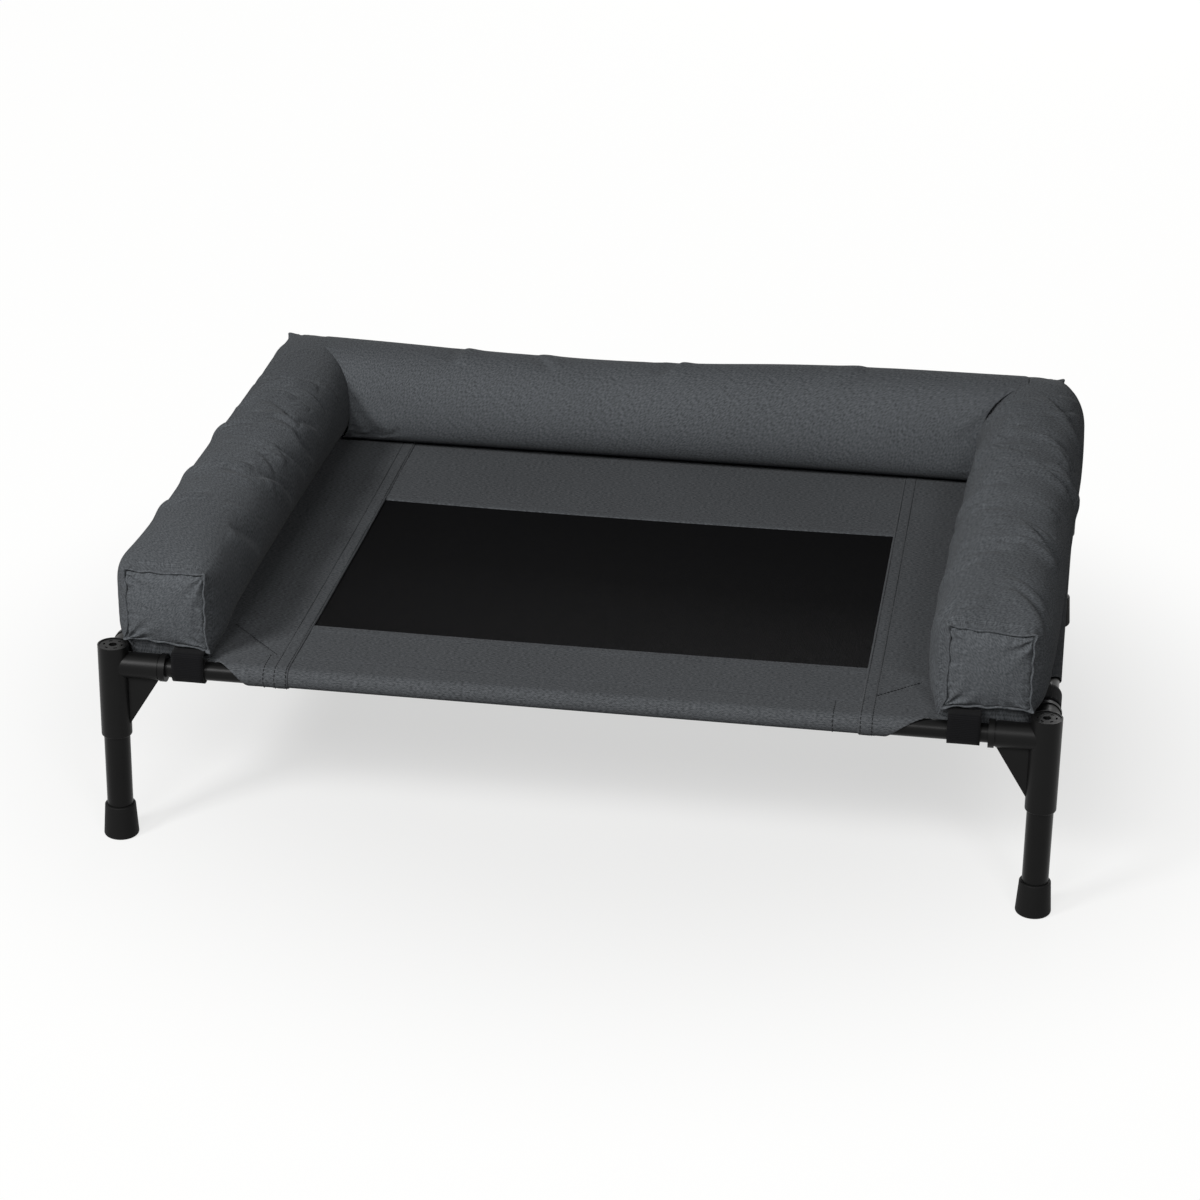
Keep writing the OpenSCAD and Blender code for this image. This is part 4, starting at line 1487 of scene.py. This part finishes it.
@dataclass(kw_only=True)
class SideArm(Arm):
    """Side arm: a tube that puffs out behind a square, pinched panel at each end."""

    side: Side
    panel_inner: Span
    panel_outer: Span
    panel_top: Span
    inner: Span
    outer: Span
    top: Span
    top_tilt: float = 0.0
    low_tilt: float = 0.0
    panel_low: float = 0.18306
    seat: float = 0.1716
    taper: float = 0.120
    back_taper: float = 0.050
    side_taper: float = 0.048
    low_taper: float = 0.030
    end_power: float = 26.0
    crown_power: float = 2.5
    seat_power: float = 4.0
    ear: float = 0.0020
    ear_from: float = 0.8
    draw: float = 0.0016
    end_reach: float = 0.012
    wave: float = 0.0006
    wave_reach: float = 0.008
    hang: float = 0.017
    hang_past_cloth: Range = (-0.009, 0.010)
    hang_past_panel: Range = (0.003, 0.018)
    hang_past_rail: Range = (0.009, 0.0135)
    hang_past_corner: Range = (0.0125, 0.017)
    hang_below: Range = (0.35, 0.95)
    open_corner: float = 0.095
    rail_x: float = RAIL_X
    panel_width: float = 0.070
    bulge: float = 0.0062
    bulge_power: float = 0.7
    seam_depth: float = 0.0024
    seam_reach: float = 0.0012
    pucker: float = 0.0005
    pucker_pitch: float = 0.0105
    pucker_reach: float = 0.006
    pleat: float = 0.0022
    pleat_reach: float = 0.017
    lip_length: float = 0.013
    joint_share: float = 0.996

    def limits(self, along: Array) -> tuple[Array, Array, Array, Array, Array]:
        """Rise, inner and outer x, and lower and upper z of the section at a place along the arm.

        The rise is 1 - (1 - t)^2 over the taper, where t is the share of it from the nearer end; it is
        shorter at the back. The sides and the underside puff out by the same curve over their own tapers.

        Args:
            along: Places along the arm.
        Returns:
            The five values.
        """
        away = np.maximum(self.half - np.abs(along), 0.0)
        taper = np.where(along < 0.0, self.taper, self.back_taper)
        rise = 1.0 - (1.0 - np.clip(away / taper, 0.0, 1.0)) ** 2
        puff = 1.0 - (1.0 - np.clip(away / self.side_taper, 0.0, 1.0)) ** 2
        inner, outer, top = (
            panel.at(along, self.half) * (1.0 - share) + full.at(along, self.half) * share
            for panel, full, share in (
                (self.panel_inner, self.inner, puff),
                (self.panel_outer, self.outer, puff),
                (self.panel_top, self.top, rise),
            )
        )
        drop = 1.0 - (1.0 - np.clip(away / self.low_taper, 0.0, 1.0)) ** 2
        return rise, inner, outer, self.panel_low + (self.seat - self.panel_low) * drop, top

    def power(self, rise: Array, above: Array, joined: Array) -> Array:
        """Squareness of a section: the end panel's, blended to the crown's or the seat's by rise ** 0.25.

        Args:
            rise: How far the section has risen from the end panel.
            above: Whether the point is in the upper half.
            joined: Whether it is on the side that the back arm is sewn to, which stays round.
        Returns:
            The power of the superellipse.
        """
        rounder = np.where(above, self.crown_power, self.seat_power)
        share = np.where(joined, 1.0, rise ** 0.25)
        return self.end_power ** (1.0 - share) * rounder ** share

    def sagging(self, x: Array, away: Array, height: Array) -> Array:
        """Drop of the underside where it hangs between the straps in the sling's open corner.

        Args:
            x: Distance from the middle of the cot.
            away: Distance from the nearer end.
            height: Height share of the point, from -1 at the seat to 1 at the crown.
        Returns:
            The drop.
        """
        beside = self.rail_x - x
        over = smooth_step(*self.hang_past_cloth, self.open_corner - beside - away)
        clear = smooth_step(*self.hang_past_panel, away) * smooth_step(*self.hang_past_rail, beside)
        clear = clear * smooth_step(*self.hang_past_corner, np.hypot(beside, away))
        return self.hang * over * clear * smooth_step(*self.hang_below, -height)

    def tube(self, along: Array, inset: Array, columns: int) -> Array:
        """Superellipse sections, square at the end panels and rounder over the crown.

        Towards an end the sides draw in between the corners, the corners stand out as ears, and the
        section tilts by the panel's own skew.

        Args:
            along: Places along the arm.
            inset: Distance by which each section is drawn in.
            columns: Points round each section.
        Returns:
            Points of shape (len(along), columns, 3).
        """
        angle = self.angles()[None, :]
        rise, inner, outer, low, top = (value[:, None] for value in self.limits(along))
        away = np.maximum(self.half - np.abs(along), 0.0)[:, None]
        joined = (np.cos(angle) < 0.0) & (along > 0.0)[:, None]
        power = 2.0 / self.power(rise, np.sin(angle) >= 0.0, joined)
        u, w = signed_power(np.cos(angle), power), signed_power(np.sin(angle), power)
        fade = np.exp(-away / self.end_reach)
        at_u, at_w = (smooth_step(self.ear_from, 1.0, np.abs(value)) for value in (u, w))
        ear = self.ear * (1.3 - 0.5 * w) * at_u * at_w
        half_w = (outer - inner) / 2.0 - inset[:, None] + fade * (ear - self.draw * (1.0 - w ** 2))
        half_h = (top - low) / 2.0 - inset[:, None] + fade * (ear - self.draw * (1.0 - u ** 2))
        x = (outer + inner) / 2.0 + half_w * u
        z = (top + low) / 2.0 + half_h * w
        z -= (1.0 - rise) * u * (self.top_tilt * (1.0 + w) - self.low_tilt * (1.0 - w)) / 2.0
        z -= self.sagging(x, away, w)
        points = np.stack([x, np.broadcast_to(along[:, None], x.shape), z], -1)
        rings = self.rings(points, columns)
        girth = 2.0 * np.pi * self.girths(columns)[None, :]
        wave = np.sin(13.0 * girth + 2.0 * np.sin(3.0 * girth + self.side.value))
        wave = self.wave * wave * np.exp(-away / self.wave_reach)
        rings += wave[..., None] * unit(rings - rings.mean(axis=1, keepdims=True))
        rings[..., 0] *= self.side.value
        return rings

    def mouth(self, rows: int) -> tuple[Array, Array]:
        """Rows with a rolled lip round each end panel: from the sunk seam over the lip onto the tube."""
        off = np.array([0.0022, 0.0007, -0.0005, -0.0011, -0.0009, 0.0001, 0.0014, 0.0032, 0.0058, 0.0092])
        lip = np.array([0.0023, 0.0022, 0.0018, 0.0010, 0.0003, -0.0001, 0.0, 0.0, 0.0, 0.0])
        level = np.linspace(self.lip_length - self.half, self.half - self.lip_length, rows)
        along = np.concatenate([-self.half + off, level, (self.half - off)[::-1]])
        return along, np.concatenate([lip, np.zeros(rows), lip[::-1]])

    def cap(self, patch: Array, sign: float, detail: float) -> Array:
        """Crowned end panel: rises from its sunk seam, bulges in the middle and puckers along its edges.

        The bulge is a power of 16 s (1 - s) t (1 - t); the puckers are waves along each edge that die off
        inward, and pleats fan out from each corner with a valley along its diagonal.

        Args:
            patch: Flat patch inside the end ring.
            sign: Which end, by the sign of y.
            detail: Share of the fine relief.
        Returns:
            The shaped patch, with its border kept.
        """
        share = np.append(self.quarter(4 * len(patch) - 4), 1.0)
        s, t = np.meshgrid(share, share, indexing="ij")
        width = self.panel_width
        near_s, near_t = np.minimum(s, 1.0 - s) * width, np.minimum(t, 1.0 - t) * width
        edge = np.minimum(near_s, near_t)
        bulge = self.bulge * (16.0 * s * (1.0 - s) * t * (1.0 - t)) ** self.bulge_power
        rise = self.seam_depth * (1.0 - np.exp(-edge / self.seam_reach))
        run = np.where(near_s < near_t, t, s) * width
        wave = np.sin(2.0 * np.pi * run / self.pucker_pitch + 2.0 * np.sin(90.0 * run))
        pucker = self.pucker * wave * np.exp(-edge / self.pucker_reach)
        reach = np.hypot(near_s, near_t)
        fan = np.arctan2(near_t, near_s) - np.pi / 4.0 + 0.15 * np.sin(7.0 * s + 4.0 * t)
        pleat = np.cos(9.0 * fan) * np.exp(-reach / self.pleat_reach) * smooth_step(0.0015, 0.007, reach)
        pleat = self.pleat * (1.0 + 0.45 * np.sin(3.0 * s + 5.0 * t + self.side.value)) * pleat
        fine = detail * smooth_step(0.0, 0.0015, edge) * (pucker - pleat)
        patch = patch.copy()
        patch[..., 1] += sign * (bulge + detail * rise + fine)
        return patch

    def cut(self, points: Array, spare: float) -> Array:
        """The cover as it was cut, longer along y."""
        return points * np.array([1.0, spare, 1.0])

    def closed(self, tube: Array, detail: float) -> list[Surface]:
        """The closed arm, with its faces turned over on the left, where the form is mirrored."""
        parts = super().closed(tube, detail)
        return parts if self.side is Side.RIGHT else [part.flipped() for part in parts]

    def inner_x(self, y: Array, z: Array) -> Array:
        """Distance from the middle of the cot to the arm's inner face.

        Args:
            y: Depth.
            z: Height.
        Returns:
            The superellipse solved for x on the inner side.
        """
        rise, inner, outer, low, top = self.limits(y)
        middle = (low + top) / 2.0
        power = self.power(rise, z >= middle, y > 0.0)
        share = np.minimum(self.joint_share, np.abs(z - middle) / ((top - low) / 2.0))
        return (outer + inner) / 2.0 - (outer - inner) / 2.0 * (1.0 - share ** power) ** (1.0 / power)


@dataclass(kw_only=True)
class BackArm(Arm):
    """Back arm: a round-topped tube whose ends are shaped to the side arms that they are sewn to."""

    left: SideArm
    right: SideArm
    front: float = 0.207
    back: float = 0.300
    seat: float = 0.1716
    top: float = 0.26206
    crown_power: float = 2.5
    seat_power: float = 4.0
    gap: float = 0.0008
    shoulder: float = 0.012
    shoulder_reach: float = 0.007
    step: tuple[float, float, float] = (0.0058, 0.07, 0.08)
    swell: tuple[float, float, float] = (0.0056, -0.33, 0.13)
    crowding: float = 0.28
    spare_share: float = 0.5

    def joint_x(self, sign: Array, y: Array, z: Array) -> Array:
        """Distance from the middle to the inner face of the left arm, or the right one where sign > 0."""
        return np.where(sign > 0.0, self.right.inner_x(y, z), self.left.inner_x(y, z))

    def crown_line(self, x: Array) -> Array:
        """Height of the crown off its mean: a tanh step up to the right and a bell-shaped swell at the left.

        Args:
            x: Places along the arm.
        Returns:
            The height; step and swell each hold a height, a place and a width.
        """
        step, step_x, step_width = self.step
        swell, swell_x, swell_width = self.swell
        rise = step * np.tanh((x - step_x) / step_width)
        return rise + swell * np.exp(-((x - swell_x) / swell_width) ** 2)

    def tube(self, along: Array, inset: Array, columns: int) -> Array:
        """Superellipse sections across y and z, stretched along x to the side arms' inner faces.

        Near each end the section shrinks by shoulder exp(-d / shoulder_reach): the joint is a valley.

        Args:
            along: Places along the arm, where half is its end.
            inset: Distance by which each section is drawn in.
            columns: Points round each section.
        Returns:
            Points of shape (len(along), columns, 3).
        """
        angle = self.angles()[None, :]
        power = 2.0 / np.where(np.sin(angle) >= 0.0, self.crown_power, self.seat_power)
        away = np.maximum(self.half - np.abs(along), 0.0)[:, None]
        scale = 1.0 - self.shoulder * np.exp(-away / self.shoulder_reach)
        half_d = ((self.back - self.front) / 2.0 - inset[:, None]) * scale
        top = self.top + self.crown_line(along)[:, None]
        half_h = ((top - self.seat) / 2.0 - inset[:, None]) * scale
        y = (self.back + self.front) / 2.0 + half_d * signed_power(np.cos(angle), power)
        z = (top + self.seat) / 2.0 + half_h * signed_power(np.sin(angle), power)
        reach = self.joint_x(along[:, None], y, z) - self.gap - inset[:, None]
        return self.rings(np.stack([along[:, None] / self.half * reach, y, z], -1), columns)

    def mouth(self, rows: int) -> tuple[Array, Array]:
        """Rows that crowd towards both ends."""
        turn = np.linspace(-1.0, 1.0, rows)
        crowded = (1.0 - self.crowding) * turn + self.crowding * np.sin(turn * np.pi / 2.0)
        return self.half * crowded, np.zeros(rows)

    def cap(self, patch: Array, sign: float, detail: float) -> Array:
        """End face, laid against the side arm's inner face; its border stays where the tube ends."""
        face = patch.copy()
        side = np.float64(sign)
        inset = np.abs(patch[0, 0, 0]) - self.joint_x(side, patch[0, 0, 1], patch[0, 0, 2])
        inside = patch[1:-1, 1:-1]
        face[1:-1, 1:-1, 0] = sign * (self.joint_x(side, inside[..., 1], inside[..., 2]) + inset)
        return face

    def cut(self, points: Array, spare: float) -> Array:
        """The cover as it was cut, longer along x."""
        return points * np.array([1.0 + self.spare_share * (spare - 1.0), 1.0, 1.0])

    def closed(self, tube: Array, detail: float) -> list[Surface]:
        """The closed arm, with its faces turned over because it runs across the others."""
        return [part.flipped() for part in super().closed(tube, detail)]


LEFT_CREASES = (
    Crease(((0.232, 0.485), (0.213, 0.460), (0.196, 0.440), (0.177, 0.420), (0.154, 0.400)), 0.0018),
    Crease(((0.147, 0.610), (0.143, 0.560), (0.135, 0.520), (0.132, 0.475), (0.129, 0.420)), 0.0020),
    Crease(((0.101, 0.565), (0.104, 0.515), (0.097, 0.472), (0.087, 0.430), (0.081, 0.385)), 0.0028, 0.0040),
    Crease(((0.084, 0.705), (0.058, 0.635), (0.054, 0.578), (0.069, 0.518), (0.078, 0.480)), 0.0022),
    Crease(((0.055, 0.510), (0.041, 0.478), (0.031, 0.445), (0.026, 0.402), (0.026, 0.345)), 0.0030, 0.0040),
    Crease(
        ((0.016, 0.762), (-0.004, 0.698), (-0.016, 0.632), (-0.013, 0.570), (-0.008, 0.500),
         (-0.010, 0.440)),
        0.0020,
    ),
    Crease(((0.049, 0.760), (0.029, 0.695), (0.026, 0.642), (0.034, 0.590), (0.034, 0.530)), 0.0016),
    Crease(((-0.071, 0.575), (-0.073, 0.530), (-0.076, 0.488), (-0.080, 0.440), (-0.077, 0.345)), 0.0030),
    Crease(((-0.062, 0.698), (-0.080, 0.642), (-0.093, 0.600), (-0.098, 0.555), (-0.094, 0.495)), 0.0017),
    Crease(((-0.149, 0.510), (-0.156, 0.460), (-0.163, 0.420), (-0.154, 0.345)), 0.0026, 0.0040),
    Crease(((-0.037, 0.772), (-0.055, 0.718), (-0.068, 0.665), (-0.078, 0.615)), 0.0016, 0.0044),
    Crease(((-0.156, 0.772), (-0.179, 0.720), (-0.196, 0.668), (-0.200, 0.620)), 0.0015, 0.0060),
    *crumples(26, 3, -0.150, 0.270),
)
RIGHT_CREASES = (
    Crease(((0.215, 0.480), (0.187, 0.420), (0.167, 0.380), (0.156, 0.338), (0.160, 0.285)), 0.0024),
    Crease(((0.158, 0.585), (0.164, 0.535), (0.165, 0.492), (0.165, 0.440)), 0.0018),
    Crease(((0.118, 0.575), (0.133, 0.545), (0.143, 0.510)), 0.0014, 0.0028),
    Crease(
        ((0.065, 0.655), (0.100, 0.628), (0.117, 0.588), (0.123, 0.550), (0.119, 0.505), (0.105, 0.420),
         (0.087, 0.340)),
        0.0032, 0.0040,
    ),
    Crease(((0.058, 0.580), (0.066, 0.535), (0.076, 0.480)), 0.0018, 0.0030),
    Crease(((0.014, 0.620), (0.031, 0.582), (0.036, 0.545), (0.041, 0.500), (0.043, 0.460)), 0.0020, 0.0030),
    Crease(
        ((0.002, 0.628), (0.010, 0.582), (0.019, 0.540), (0.028, 0.490), (0.029, 0.435), (0.016, 0.372),
         (0.014, 0.325)),
        0.0030,
    ),
    Crease(((0.062, 0.420), (0.049, 0.368), (0.042, 0.332), (0.045, 0.265)), 0.0034, 0.0056),
    Crease(
        ((-0.048, 0.645), (-0.043, 0.592), (-0.037, 0.545), (-0.034, 0.505), (-0.043, 0.432),
         (-0.051, 0.365)),
        0.0026,
    ),
    Crease(((-0.086, 0.585), (-0.084, 0.542), (-0.080, 0.505)), 0.0014, 0.0030),
    Crease(
        ((-0.114, 0.645), (-0.118, 0.590), (-0.125, 0.545), (-0.127, 0.490), (-0.130, 0.418),
         (-0.140, 0.335)),
        0.0028,
    ),
    Crease(((-0.094, 0.475), (-0.109, 0.428), (-0.120, 0.395), (-0.131, 0.340)), 0.0024),
    Crease(((-0.140, 0.530), (-0.145, 0.490), (-0.142, 0.450)), 0.0014, 0.0030),
    Crease(((-0.208, 0.490), (-0.219, 0.432), (-0.228, 0.395), (-0.240, 0.360)), 0.0015, 0.0044),
    Crease(((-0.228, 0.480), (-0.246, 0.430), (-0.263, 0.395), (-0.280, 0.365)), 0.0016, 0.0044),
    Crease(((-0.283, 0.640), (-0.268, 0.590), (-0.254, 0.560), (-0.244, 0.525)), 0.0018),
    Crease(((-0.288, 0.625), (-0.275, 0.575), (-0.265, 0.535)), 0.0014, 0.0030),
    Crease(((-0.256, 0.635), (-0.245, 0.598), (-0.233, 0.570)), 0.0014, 0.0030),
    Crease(((-0.194, 0.650), (-0.189, 0.598), (-0.181, 0.550)), 0.0013, 0.0044),
    Crease(((0.184, 0.725), (0.193, 0.655), (0.197, 0.590), (0.193, 0.520)), 0.0017, 0.0052),
    Crease(((0.079, 0.730), (0.090, 0.660), (0.093, 0.600), (0.088, 0.535)), 0.0018, 0.0050),
    Crease(((-0.022, 0.735), (-0.010, 0.670), (-0.008, 0.600), (-0.013, 0.530)), 0.0018, 0.0050),
    Crease(((-0.078, 0.730), (-0.066, 0.665), (-0.064, 0.595), (-0.070, 0.520)), 0.0017, 0.0052),
    Crease(((-0.172, 0.735), (-0.161, 0.665), (-0.160, 0.590), (-0.168, 0.500)), 0.0016, 0.0056),
    *crumples(30, 11, -0.200, 0.270),
)
BACK_CREASES = (
    Crease(((-0.181, 0.440), (-0.182, 0.500), (-0.190, 0.570)), 0.0018, 0.0044),
    Crease(((-0.116, 0.440), (-0.103, 0.510), (-0.097, 0.565)), 0.0014, 0.0044),
    Crease(((0.018, 0.450), (0.014, 0.520), (0.003, 0.570)), 0.0020, 0.0044),
    Crease(((0.150, 0.570), (0.160, 0.510), (0.166, 0.440)), 0.0012, 0.0050),
    Crease(((-0.297, 0.648), (-0.290, 0.708), (-0.278, 0.780), (-0.259, 0.835)), 0.0014, 0.0060),
    Crease(((-0.301, 0.745), (-0.295, 0.802), (-0.283, 0.855)), 0.0012, 0.0050),
    Crease(((0.276, 0.720), (0.290, 0.682), (0.298, 0.632), (0.300, 0.575)), 0.0008, 0.0060),
)


@dataclass
class Bolster:
    """U-shaped bolster of two side arms and a back arm."""

    side_half: float = 0.296
    back_half: float = 0.3045

    def build(self) -> None:
        """Makes the three covers and their fillings."""
        cloth, fibre = BOLSTER_CLOTH.material(), FIBRE.material()
        stuffing = Stuffing()
        left = SideArm(
            "left_arm", "left_arm_cover", "left_arm_filling", self.side_half, LEFT_CREASES,
            side=Side.LEFT,
            panel_inner=Span(0.309, 0.309), panel_outer=Span(0.380, 0.381), panel_top=Span(0.2508, 0.2520),
            inner=Span(0.3015, 0.3015), outer=Span(0.4010, 0.3895, 0.32), top=Span(0.2608, 0.2614),
            low_tilt=0.0035, open_corner=0.095,
        )
        right = SideArm(
            "right_arm", "right_arm_cover", "right_arm_filling", self.side_half, RIGHT_CREASES,
            side=Side.RIGHT,
            panel_inner=Span(0.307, 0.318), panel_outer=Span(0.379, 0.3834), panel_top=Span(0.2540, 0.2575),
            inner=Span(0.2900, 0.3140), outer=Span(0.3900, 0.4070, 0.7), top=Span(0.2616, 0.2675),
            top_tilt=0.0019, low_tilt=0.0012, open_corner=0.1095,
        )
        back = BackArm(
            "back_arm", "back_arm_cover", "back_arm_filling", self.back_half, BACK_CREASES,
            left=left, right=right,
        )
        arms: list[Arm] = [left, right, back]
        for arm in arms:
            arm.build(cloth, fibre, stuffing)


def main() -> None:
    """Builds the studio and dresses the cot."""
    logging.basicConfig(level=logging.INFO, format="%(message)s")
    Studio().build()
    CotFrame().dress()
    Sling().build()
    Straps().build()
    Bolster().build()


if __name__ == "__main__":
    main()
